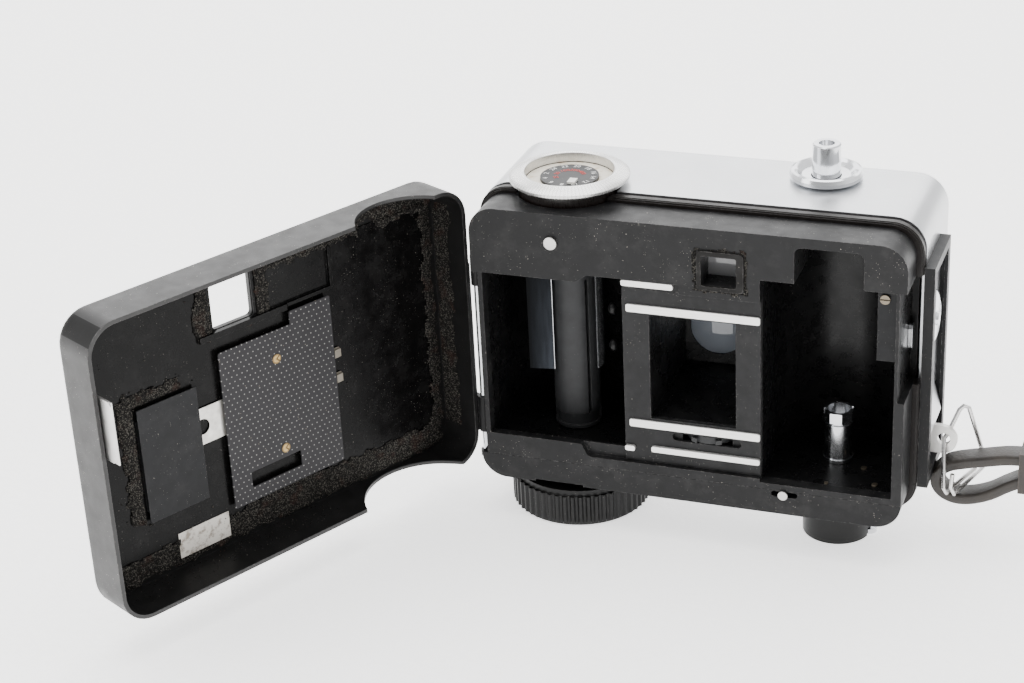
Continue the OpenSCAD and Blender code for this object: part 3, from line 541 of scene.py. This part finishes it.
def dimpled_steel(name):
    """Dark grey plate with a staggered grid of fine dimples that catch the light."""
    s = Surface(name)
    across, _, up = s.closed_door()

    def in_cell(place, pitch, shift):
        """Where a place lies in its cell, from -0.5 to 0.5."""
        return s.math("SUBTRACT", s.math("FRACT", s.math("ADD", s.math("DIVIDE", place, pitch), shift)), 0.5)

    def dots(shift):
        """One of the two grids, 1 at each dimple."""
        aside = in_cell(across, DIMPLE_PITCH, shift)
        along = s.times(in_cell(up, DIMPLE_PITCH * DIMPLE_STRETCH, shift), DIMPLE_STRETCH)
        return s.span(s.distance(aside, along), 0.06, 0.14, 1.0, 0.0)

    grid = s.math("MAXIMUM", dots(0.0), dots(0.5))
    cloud = s.noise(0.3, 5)
    colour = s.mix(s.span(cloud, 0.3, 0.7), (0.019, 0.018, 0.02), (0.027, 0.026, 0.028))
    colour = s.mix(s.times(grid, 0.7), colour, (0.42, 0.41, 0.4))
    colour = s.mix(s.times(s.spots(1.3, 0.1), 0.5), colour, (0.5, 0.42, 0.32))
    s.set(Base_Color=colour, Metallic=0.2, Specular_IOR_Level=0.25)
    s.set(Roughness=s.span(cloud, 0.3, 0.7, 0.42, 0.55))
    s.bump([(grid, 0.12, -0.6), (s.noise(5, 2), 0.02, 0.3)], 0.06)
    return s.material


def crumbled_foam(name):
    """Perished light seal: dark porous crumbs with pale and rusty grains."""
    s = Surface(name)
    cells = s.node("ShaderNodeTexVoronoi")
    cells.inputs["Scale"].default_value = 5.5
    s.link(s.place, cells.inputs["Vector"])
    tint = s.red(cells.outputs["Color"])
    colour = s.mix(s.span(tint, 0.66, 0.98), (0.009, 0.0082, 0.0075), (0.12, 0.112, 0.097))
    colour = s.mix(s.span(s.noise(0.25, 4), 0.55, 0.75, 0, 0.7), colour, (0.045, 0.022, 0.016))
    s.set(Base_Color=colour, Roughness=0.85, Specular_IOR_Level=0.15)
    s.bump([(cells.outputs["Distance"], 0.35, 0.9), (s.noise(4.5, 4), 0.3, 0.8)])
    return s.material


def leather(name):
    """Dark strap leather: fine pebbled grain, creases, rubbed brown-grey edges."""
    s = Surface(name)
    grain = s.node("ShaderNodeTexVoronoi")
    grain.inputs["Scale"].default_value = 2.6
    s.link(s.place, grain.inputs["Vector"])
    crease = s.noise(0.8, 5, 0.6, (3, 1, 1))
    patch = s.noise(0.25, 4)
    colour = s.mix(s.span(patch, 0.3, 0.7), (0.014, 0.0115, 0.0095), (0.032, 0.026, 0.021))
    rub = s.times(s.edges(0.7, 0.3), s.span(s.noise(0.7, 5), 0.35, 0.7, 0.1, 0.7))
    colour = s.mix(rub, colour, (0.13, 0.1, 0.08))
    s.set(Base_Color=colour, Roughness=s.span(patch, 0.3, 0.7, 0.38, 0.55), Specular_IOR_Level=0.45)
    s.bump([(grain.outputs["Distance"], 0.08, 0.5), (crease, 0.15, 0.4)])
    return s.material


def coated_glass(name, tint, clear=0.9):
    """Lens glass with a faint coating colour and a little dust; clear: how much light goes through."""
    s = Surface(name)
    dust = s.times(s.spots(1.8, 0.08), 0.5)
    s.set(Base_Color=s.mix(dust, tint, (0.8, 0.8, 0.8)))
    s.set(Roughness=s.span(s.noise(0.8, 3), 0.3, 0.8, 0.02, 0.12))
    s.set(Transmission_Weight=clear, IOR=1.5, Coat_Weight=0.6, Coat_Roughness=0.03)
    return s.material


def plastic(name, tone, rough, dust=0.3, gloss=0.35):
    """Moulded black plastic with a slight sheen, fine texture and dust."""
    s = Surface(name)
    cloud = s.noise(0.4, 5)
    specks = s.times(s.spots(1.5, 0.1), dust)
    colour = s.mix(s.span(cloud, 0.3, 0.7), tone, tuple(v * 1.6 for v in tone))
    rub = s.times(s.edges(0.2), s.span(s.noise(1.2, 5), 0.45, 0.7, 0, 0.45))
    colour = s.mix(rub, colour, (0.22, 0.21, 0.2))
    colour = s.mix(specks, colour, (0.4, 0.37, 0.33))
    s.set(Base_Color=colour, Roughness=s.span(cloud, 0.3, 0.7, rough, rough + 0.12))
    s.set(Specular_IOR_Level=gloss)
    s.bump([(s.noise(7, 2), 0.02, 0.25)], 0.15)
    return s.material


DIAL_LINES = 96
DIAL_SLOPE = (9.4, 9.6)
DIAL_NECK = 0.6


def lined_metal(name):
    """Dial ring: satin metal with fine radial lines cut round its slope, on a brown-black neck."""
    s = Surface(name)
    across, through, up = s.axes()
    east = s.math("SUBTRACT", across, DIAL[0])
    north = s.math("SUBTRACT", through, DIAL[1])
    turn = s.times(s.math("ARCTAN2", north, east), DIAL_LINES / math.tau)
    line = s.span(s.away(s.math("FRACT", turn), 0.5), 0.0, 0.16, 1.0, 0.0)
    line = s.times(line, s.span(s.distance(east, north), *DIAL_SLOPE))
    grain = s.noise(1.0, 4, 0.6, (7, 7, 0.5))
    colour = s.mix(s.span(grain, 0.3, 0.75), (0.76, 0.755, 0.74), (0.66, 0.655, 0.64))
    colour = s.mix(s.times(line, 0.55), colour, (0.3, 0.29, 0.28))
    ring = s.math("GREATER_THAN", up, DISC_Z - DIAL_NECK)
    colour = s.mix(ring, (0.009, 0.006, 0.005), colour)
    s.set(Base_Color=colour, Metallic=s.times(ring, 0.85))
    s.set(Roughness=s.span(grain, 0.3, 0.7, 0.24, 0.36))
    s.bump([(line, 0.05, -0.4), (grain, 0.01, 0.2)], 0.15)
    return s.material


def cream_enamel(name):
    """Aged cream floor of the dial with brown stains."""
    s = Surface(name)
    stain = s.span(s.noise(0.6, 6), 0.5, 0.72)
    s.set(Base_Color=s.mix(stain, (0.78, 0.73, 0.62), (0.5, 0.38, 0.25)), Roughness=0.45)
    s.bump([(s.noise(3, 3), 0.02, 0.3)])
    return s.material


def paint(name, tone, rough=0.5):
    """Slightly worn paint of the dial's figures and marks."""
    s = Surface(name)
    worn = s.noise(2.2, 5)
    s.set(Base_Color=s.mix(s.span(worn, 0.4, 0.75), tone, tuple(v * 0.7 for v in tone)), Roughness=rough)
    s.bump([(worn, 0.01, 0.3)])
    return s.material


# ---------------------------------------------------------------- dressing of the CAD nodes


SMOOTH_BELOW = math.radians(26)
SAME_PLACE = 1e-6


def rounding():
    """Node group that joins a mesh's facets and shades the shallow edges between them smooth."""
    group = bpy.data.node_groups.new("rounding", "GeometryNodeTree")
    group.interface.new_socket("Geometry", in_out="INPUT", socket_type="NodeSocketGeometry")
    group.interface.new_socket("Geometry", in_out="OUTPUT", socket_type="NodeSocketGeometry")
    node, link = group.nodes.new, group.links.new
    clear = node("GeometryNodeRemoveAttribute")
    clear.inputs["Name"].default_value = "custom_normal"
    merge = node("GeometryNodeMergeByDistance")
    merge.inputs["Distance"].default_value = SAME_PLACE
    angle = node("GeometryNodeInputMeshEdgeAngle")
    shallow = node("FunctionNodeCompare")
    shallow.operation = "LESS_THAN"
    shallow.inputs["B"].default_value = SMOOTH_BELOW
    faces, edges = node("GeometryNodeSetShadeSmooth"), node("GeometryNodeSetShadeSmooth")
    edges.domain = "EDGE"
    link(node("NodeGroupInput").outputs[0], clear.inputs["Geometry"])
    link(clear.outputs["Geometry"], merge.inputs["Geometry"])
    link(merge.outputs["Geometry"], faces.inputs["Geometry"])
    link(faces.outputs["Geometry"], edges.inputs["Geometry"])
    link(angle.outputs["Unsigned Angle"], shallow.inputs["A"])
    link(shallow.outputs["Result"], edges.inputs["Shade Smooth"])
    link(edges.outputs["Geometry"], node("NodeGroupOutput").inputs[0])
    return group


ROUNDING = rounding()


def dress(material, *nodes):
    """Gives CAD nodes a material, and smooth shading over their rounded faces."""
    for name in nodes:
        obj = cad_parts[name]
        obj.data.materials.clear()
        obj.data.materials.append(material)
        obj.modifiers.new("rounding", "NODES").node_group = ROUNDING
        level = obj.modifiers.new("level_faces", "WEIGHTED_NORMAL")
        level.keep_sharp = True


def dress_body():
    """Materials of the body and of what stays inside it."""
    dress(satin_metal("satin_aluminium", (0.66, 0.67, 0.685), 0.32), "outer_shell", "shoe_plate")
    dress(black_paint("rear_face_black", (0.0082, 0.0082, 0.0086), 1.0, 0.38, gloss=0.17),
          "rear_frame", "bottom_cover")
    dress(black_paint("bead_black", (0.008, 0.0065, 0.006), 0.4, 0.35, 0.15, gloss=0.2), "edge_band")
    dress(black_paint("well_black", (0.0045, 0.0045, 0.0047), 0.3, 0.28, 0.2, gloss=0.2),
          "take_up_well", "cassette_well", "light_tunnel", "shutter_plate")
    dress(black_paint("gate_black", (0.013, 0.013, 0.0135), 0.7, 0.4, gloss=0.14), "gate_plate")
    dress(black_paint("side_black", (0.008, 0.008, 0.0085), 0.4, 0.4, 0.9, gloss=0.18),
          "shoe_frame", "hinge_knuckles", "door_hinge_leaf")
    dress(black_paint("eyepiece_black", (0.007, 0.0066, 0.0062), 0.8, 0.42, 0.7, gloss=0.12),
          "eyepiece_frame")
    dress(black_paint("blade_black", (0.02, 0.02, 0.02), 0.2), "shutter_blade_a", "shutter_blade_b")
    dress(plastic("front_black", (0.02, 0.02, 0.021), 0.45), "front_panel", "counter_disc")
    dress(rail_metal("rail_metal"), "film_rails")
    dress(coated_glass("lens_glass", (0.62, 0.68, 0.74)), "lens_front_glass")
    dress(coated_glass("rear_lens_glass", (0.2, 0.22, 0.25), 0.15), "lens_rear_glass")
    dress(coated_glass("window_glass", (0.86, 0.87, 0.88)), "finder_front_window", "meter_window")
    dress(coated_glass("finder_milky", (0.22, 0.22, 0.225), 0.1), "finder_glass")


def dress_door():
    """Materials of the door, of what it carries and of the guide in the cassette well."""
    dress(black_paint("door_black", (0.019, 0.0185, 0.0185), 0.8, gloss=0.34, tray=True), "door_shell")
    dress(black_paint("door_inner_black", (0.0026, 0.0025, 0.0025), 0.45, 0.22, 0.2, gloss=0.1),
          "door_lining")
    dress(black_paint("leaf_black", (0.009, 0.0092, 0.01), 0.7, 0.36, 0.3, gloss=0.14),
          "cassette_leaf", "cassette_guide")
    dress(dimpled_steel("dimpled_steel"), "pressure_plate")
    dress(rivet_brass("rivet_brass"), "plate_rivets")
    dress(spring_steel("spring_steel"), "plate_spring")


def dress_fittings():
    """Materials of knobs, spool, sprocket, buttons, pins, dial and small bright parts."""
    dress(plastic("knob_black", (0.005, 0.005, 0.005), 0.3, gloss=0.25), "wind_knob", "rewind_knob")
    dress(plastic("spool_black", (0.02, 0.0205, 0.0215), 0.4, 0.15, gloss=0.25),
          "take_up_spool", "sprocket")
    dress(polished("chrome", (0.7, 0.71, 0.73), 0.08), "lens_barrel", "button_collar",
          "shutter_button", "rewind_crank", "latch_catch", "hinge_pin", "shoe_contact")
    dress(polished("pin_steel", (0.6, 0.59, 0.57), 0.25, 1.0, 0.25), "release_pin", "reset_pin")
    dress(polished("aged_screw", (0.2, 0.17, 0.13), 0.45, 0.6), "small_screws")
    dress(polished("fork_chrome", (0.7, 0.71, 0.73), 0.14, 0.2, 0.05), "rewind_fork")
    dress(polished("ring_steel", (0.66, 0.65, 0.64), 0.2, 0.5), "split_ring")
    dress(polished("plain_steel", (0.74, 0.73, 0.71), 0.36, 0.4), "strap_lug", "door_hook",
          "wind_shaft", "tripod_bush")
    dress(polished("brass", (0.6, 0.42, 0.2), 0.3, 0.5), "spring_barrel")
    dress(arm_steel("film_arm_steel"), "film_arm")
    dress(lined_metal("dial_aluminium"), "dial_ring")
    dress(cream_enamel("dial_cream"), "dial_floor")


def dress_strap():
    """Leather on the strap and its keeper."""
    material = leather("strap_leather")
    strap.data.materials.append(material)
    dress(material, "strap_keeper")


# ---------------------------------------------------------------- perished foam

GRAIN = 0.42
FACE_CRUMBS = 420
WALL_CRUMBS = 260
HINGE_WALL_X = 43.08
BOTTOM_WALL_Z = 0.8
COUNTER_PIN = (26, 54.2)
SLOT_PIN = (-19.6, 5.5)
# boxes are (x from, x to, z from, z to) on the closed door
EYEPIECE_HOLE = (-12.0, -1.9, 46.2, 56.1)
EYEPIECE_CLEAR = (-12.4, -1.5, 46, 56.4)
EYEPIECE_SEAL = (-12.8, -1.8, 46.8, 56.4)
EYEPIECE_INNER = (-11.75, -2.95, 47.85, 55.55)
PLATE_CLEAR = (-13, 15.5, 8, 45.6)
LEAF_EDGE = (-31.2, -17.2, 13.3, 37.7)
LEAF_CLEAR = (-31.5, -17, 13, 38)
PATCH = (-25, -13.2, 3.0, 8.4)
PATCH_EDGE = (-24.6, -13.6, 3.2, 8.2)
PATCH_Y = (17.86, 17.95)
LINING = (-40.2, 40.2, 5.6, 55.8)


def inside(x, z, box):
    """How far a point lies inside a box, in millimetres; negative outside."""
    x0, x1, z0, z1 = box
    return min(x - x0, x1 - x, z - z0, z1 - z)


def beyond(x, z, centre, radius):
    """How far a point lies outside a circle."""
    return math.hypot(x - centre[0], z - centre[1]) - radius


def door_foam(x, z):
    """Where crumbled seal lies on the closed door's inside: positive inside its ragged edge."""
    ragged = 1.1 * noise.noise(Vector((x * 0.35, z * 0.35, 3.1))) + 0.5 * noise.noise(Vector((x, z, 7.7)))
    swelling = 1.6 * math.exp(-((x - 2) / 16) ** 2)
    bands = (
        (-40.6, 42.4, 1.2, 7.0 + swelling),  # bottom channel
        (38.8, 42.4, 1.2, 58.5),  # beside the hinge
        (-11, 40, 54.2, 59.4),  # top channel
        (-38, -22, 55.6, 59.2),  # top channel, latch end
        (-15.9, -11.4, 44.9, 57),  # round the eyepiece
        (-2.6, 1.6, 45.2, 57),
        (-15.9, 1.6, 44.9, 46.7),
        (-34.9, -30.6, 13.4, 40.4),  # round the cassette's leaf
        (-33.6, -20.5, 37, 40.8),
    )
    level = max(inside(x, z, band) for band in bands) + ragged
    return min(
        level,
        -inside(x, z, EYEPIECE_HOLE),
        beyond(x, z, COUNTER_PIN, 2.2),
        beyond(x, z, SLOT_PIN, 1.7),
        -inside(x, z, PATCH_EDGE) + 0.8 * ragged,
        -inside(x, z, LEAF_EDGE),
    )


def wall_foam(y, z):
    """Seal that has spread up the door's hinge side wall."""
    ragged = 0.9 * noise.noise(Vector((y * 0.5, z * 0.4, 5.5))) + 0.5 * noise.noise(Vector((y, z, 2.2)))
    return inside(y, z, (13.2, 18.3, 6, 56)) + ragged


def eyepiece_foam(x, z):
    """The ring of seal stuck round the eyepiece."""
    ragged = 0.25 * noise.noise(Vector((x * 1.3, z * 1.3, 1.2)))
    return min(inside(x, z, EYEPIECE_SEAL) + ragged, -inside(x, z, EYEPIECE_INNER))


def foam_sheet(bm, mask, u_span, v_span, depth, place):
    """A lumpy skin over the mask; place(u, v, height) gives a point standing that high off the ground."""
    cells_u = int((u_span[1] - u_span[0]) / GRAIN)
    cells_v = int((v_span[1] - v_span[0]) / GRAIN)
    rows = []
    for i in range(cells_u + 1):
        row = []
        for k in range(cells_v + 1):
            u = u_span[0] + GRAIN * (i + 0.3 * rng.uniform(-1, 1))
            v = v_span[0] + GRAIN * (k + 0.3 * rng.uniform(-1, 1))
            level = mask(u, v)
            if level <= 0:
                row.append(None)
                continue
            lump = 0.5 + 0.5 * noise.noise(Vector((u * 0.8, 0, v * 0.8)))
            height = depth * min(1.0, 0.15 + level * 0.9) * (0.35 + 0.4 * lump + 0.25 * rng.random())
            row.append(bm.verts.new(place(u, v, height)))
        rows.append(row)
    for i in range(cells_u):
        for k in range(cells_v):
            corners = (rows[i][k], rows[i + 1][k], rows[i + 1][k + 1], rows[i][k + 1])
            if all(corners):
                bm.faces.new(corners)


def crumb(bm, x, y, z, size):
    """One loose grain."""
    made = bmesh.ops.create_icosphere(bm, subdivisions=1, radius=size)
    for vert in made["verts"]:
        vert.co = Vector((x, y, z)) + vert.co * rng.uniform(0.6, 1.2)


def door_ground(x, z):
    """Y of the closed door's inner face: its lining, or the channel round that."""
    return LINING_Y if inside(x, z, LINING) > 0 else CHANNEL_Y


def scatter_crumbs(bm):
    """Loose grains on the door's inner face, most of them near the seal, and on its bottom wall."""
    for _ in range(FACE_CRUMBS):
        x, z = rng.uniform(-39.5, 42), rng.uniform(2, 58)
        level = door_foam(x, z)
        near = level > -1.5 or rng.random() < 0.1
        if near and all(inside(x, z, box) < 0 for box in (EYEPIECE_CLEAR, PLATE_CLEAR, LEAF_CLEAR)):
            size = rng.uniform(0.07, 0.2)
            foam_height = 0.45 if level > 0 else 0.0
            crumb(bm, x, door_ground(x, z) - foam_height - size * 0.4, z, size)
    for _ in range(WALL_CRUMBS):
        x, y, size = rng.uniform(-38, 10), rng.uniform(12, 18), rng.uniform(0.06, 0.16)
        crumb(bm, x, y, BOTTOM_WALL_Z + size * 0.4, size)


def make_foam():
    """Seals of the door and the eyepiece, with loose grains round them."""
    door, ring = bmesh.new(), bmesh.new()
    foam_sheet(door, door_foam, (-41, 42.6), (1.0, 59.8), 0.6, lambda x, z, h: (x, door_ground(x, z) - h, z))
    foam_sheet(door, wall_foam, (12.6, 18.4), (5, 56.5), 0.22, lambda y, z, h: (HINGE_WALL_X - h, y, z))
    scatter_crumbs(door)
    foam_sheet(ring, eyepiece_foam, (-13.2, -1.4), (46.4, 56.9), 0.2,
               lambda x, z, h: (x, REAR_FACE_Y + 0.02 + h, z))
    door_data = mesh_from(door, "door_foam", TO_OPEN, False)
    ring_data = mesh_from(ring, "eyepiece_foam", None, False)
    foam = new_object("door_foam", door_data, "door", ("light_seals",))
    seal = new_object("eyepiece_foam", ring_data, "body", ("eyepiece_seal",))
    material = crumbled_foam("foam")
    for piece in (foam, seal):
        piece.data.materials.append(material)


def box_mesh(bm, x0, x1, y0, y1, z0, z1):
    """A plain box between two corners."""
    made = bmesh.ops.create_cube(bm, size=1)
    for vert in made["verts"]:
        vert.co = Vector(((x0 + x1) / 2 + vert.co.x * (x1 - x0),
                          (y0 + y1) / 2 + vert.co.y * (y1 - y0),
                          (z0 + z1) / 2 + vert.co.z * (z1 - z0)))


def make_bare_patch():
    """Bare metal laid over the bottom channel, smeared with old glue."""
    bm = bmesh.new()
    box_mesh(bm, *PATCH[:2], *PATCH_Y, *PATCH[2:])
    patch = new_object("bare_patch", mesh_from(bm, "bare_patch", TO_OPEN, False), "door")
    s = Surface("bare_patch")
    glue = s.span(s.noise(0.55, 7, 0.7), 0.5, 0.62)
    grit = s.spots(2.4, 0.16)
    colour = s.mix(glue, (0.62, 0.59, 0.54), (0.3, 0.26, 0.22))
    colour = s.mix(grit, colour, (0.03, 0.02, 0.016))
    s.set(Base_Color=colour, Metallic=0.35, Roughness=0.55)
    s.bump([(glue, 0.08, 0.5), (grit, 0.1, 0.6)])
    patch.data.materials.append(s.material)


# ---------------------------------------------------------------- dial

SPEED_RADIUS = 4.75
SPEED_SIZE = 1.45
SCALE_RADIUS = 2.7
SCALE_SIZE = 1.35
SCALE_FROM, SCALE_STEP = 32, -42
FIGURE_LIFT = 0.03
POINTER = (DIAL[0] - 2.4, DIAL[0] - 0.9, DIAL[1] + 2.2, DIAL[1] + 4.4, DISC_Z + 0.06, DISC_Z + 0.5)


def text_mesh(bm, words, size, place, turn):
    """Flat figures laid on the dial, in millimetres."""
    curve = bpy.data.curves.new("figure", "FONT")
    curve.body = words
    curve.size = size
    curve.align_x = "CENTER"
    curve.align_y = "CENTER"
    curve.extrude = 0.015
    curve.resolution_u = 3
    figure = bpy.data.objects.new("figure", curve)
    bpy.context.scene.collection.objects.link(figure)
    bpy.context.view_layer.update()
    flat = bpy.data.meshes.new_from_object(figure.evaluated_get(bpy.context.evaluated_depsgraph_get()))
    flat.transform(Matrix.Translation(Vector(place)) @ Matrix.Rotation(turn, 4, "Z"))
    bm.from_mesh(flat)
    bpy.data.objects.remove(figure)
    bpy.data.meshes.remove(flat)


def ring_of_figures(bm, words, radius, size, angles):
    """Figures round the dial's middle, their tops outwards."""
    for word, angle in zip(words, angles):
        x, y = DIAL[0] + radius * math.cos(angle), DIAL[1] + radius * math.sin(angle)
        text_mesh(bm, word, size, (x, y, DISC_Z + FIGURE_LIFT), angle - math.pi / 2)


def make_dial_marks():
    """Figures round the disc, a scale inside them and the pointer block beside it."""
    white, red, block = bmesh.new(), bmesh.new(), bmesh.new()
    ring_of_figures(white, [str(2 * i + 2) for i in range(12)], SPEED_RADIUS, SPEED_SIZE,
                    [math.tau * i / 12 for i in range(12)])
    ring_of_figures(red, ("25", "50", "100", "200", "400"), SCALE_RADIUS, SCALE_SIZE,
                    [math.radians(SCALE_FROM + SCALE_STEP * i) for i in range(5)])
    box_mesh(block, *POINTER)
    for name, bm, body, material in (
        ("figures_white", white, "counter", paint("figures_white", (0.8, 0.8, 0.78))),
        ("figures_red", red, "counter", paint("figures_red", (0.55, 0.03, 0.02))),
        ("dial_pointer", block, "body", paint("pointer_white", (0.75, 0.74, 0.7), 0.3)),
    ):
        marks = new_object(name, mesh_from(bm, name, None, False), body)
        marks.data.materials.append(material)


# ---------------------------------------------------------------- floor and light


FLOOR_HALF = 4


def make_floor():
    """A wide white surface with a faint paper grain."""
    bm = bmesh.new()
    bmesh.ops.create_grid(bm, x_segments=1, y_segments=1, size=FLOOR_HALF)
    data = bpy.data.meshes.new("floor")
    bm.to_mesh(data)
    bm.free()
    floor = bpy.data.objects.new("floor", data)
    floor.location.z = FLOOR_Z
    bpy.context.scene.collection.objects.link(floor)
    s = Surface("floor_white")
    grain = s.noise(0.55, 5, 0.6)
    s.set(Base_Color=s.mix(s.span(grain, 0.35, 0.7), (0.93, 0.925, 0.915), (0.86, 0.85, 0.835)))
    s.set(Roughness=0.75, Emission_Color=(1, 1, 1), Emission_Strength=1.4)
    s.bump([(grain, 0.6, 0.5)])
    floor.data.materials.append(s.material)


def area_light(name, at, target, size, watts):
    """A white rectangular light at a place, facing another."""
    data = bpy.data.lights.new(name, "AREA")
    data.shape = "RECTANGLE"
    data.size, data.size_y = size
    data.energy = watts
    light = bpy.data.objects.new(name, data)
    light.location = at
    light.rotation_euler = (Vector(target) - Vector(at)).to_track_quat("-Z", "Y").to_euler()
    bpy.context.scene.collection.objects.link(light)


def make_room():
    """A white world, brighter in front of the camera than behind it."""
    world = bpy.data.worlds.new("room")
    world.use_nodes = True
    nodes, links = world.node_tree.nodes, world.node_tree.links
    background = nodes["Background"]
    background.inputs["Color"].default_value = (1, 1, 1, 1)
    coords = nodes.new("ShaderNodeTexCoord")
    axes = nodes.new("ShaderNodeSeparateXYZ")
    links.new(coords.outputs["Generated"], axes.inputs[0])
    dim = nodes.new("ShaderNodeMapRange")
    for key, value in (("From Min", 0.0), ("From Max", 0.9), ("To Min", 1.7), ("To Max", 0.7)):
        dim.inputs[key].default_value = value
    links.new(axes.outputs[1], dim.inputs["Value"])
    links.new(dim.outputs["Result"], background.inputs["Strength"])
    bpy.context.scene.world = world


def make_light():
    """Bright soft studio light: a large box above, a softer one at the left and one in front of the lens."""
    make_room()
    area_light("top_box", (0.1, -0.1, 0.9), (0, 0.02, 0), (0.9, 0.9), 9)
    area_light("left_box", (0.7, 0.5, 0.5), (0, 0, 0.03), (0.5, 0.5), 3)
    area_light("front_box", (0.25, -0.85, 0.5), (0, 0, 0.05), (1.2, 0.6), 6)


# ---------------------------------------------------------------- the scene

dress_body()
dress_door()
dress_fittings()
dress_strap()
make_foam()
make_bare_patch()
make_dial_marks()
make_floor()
make_light()
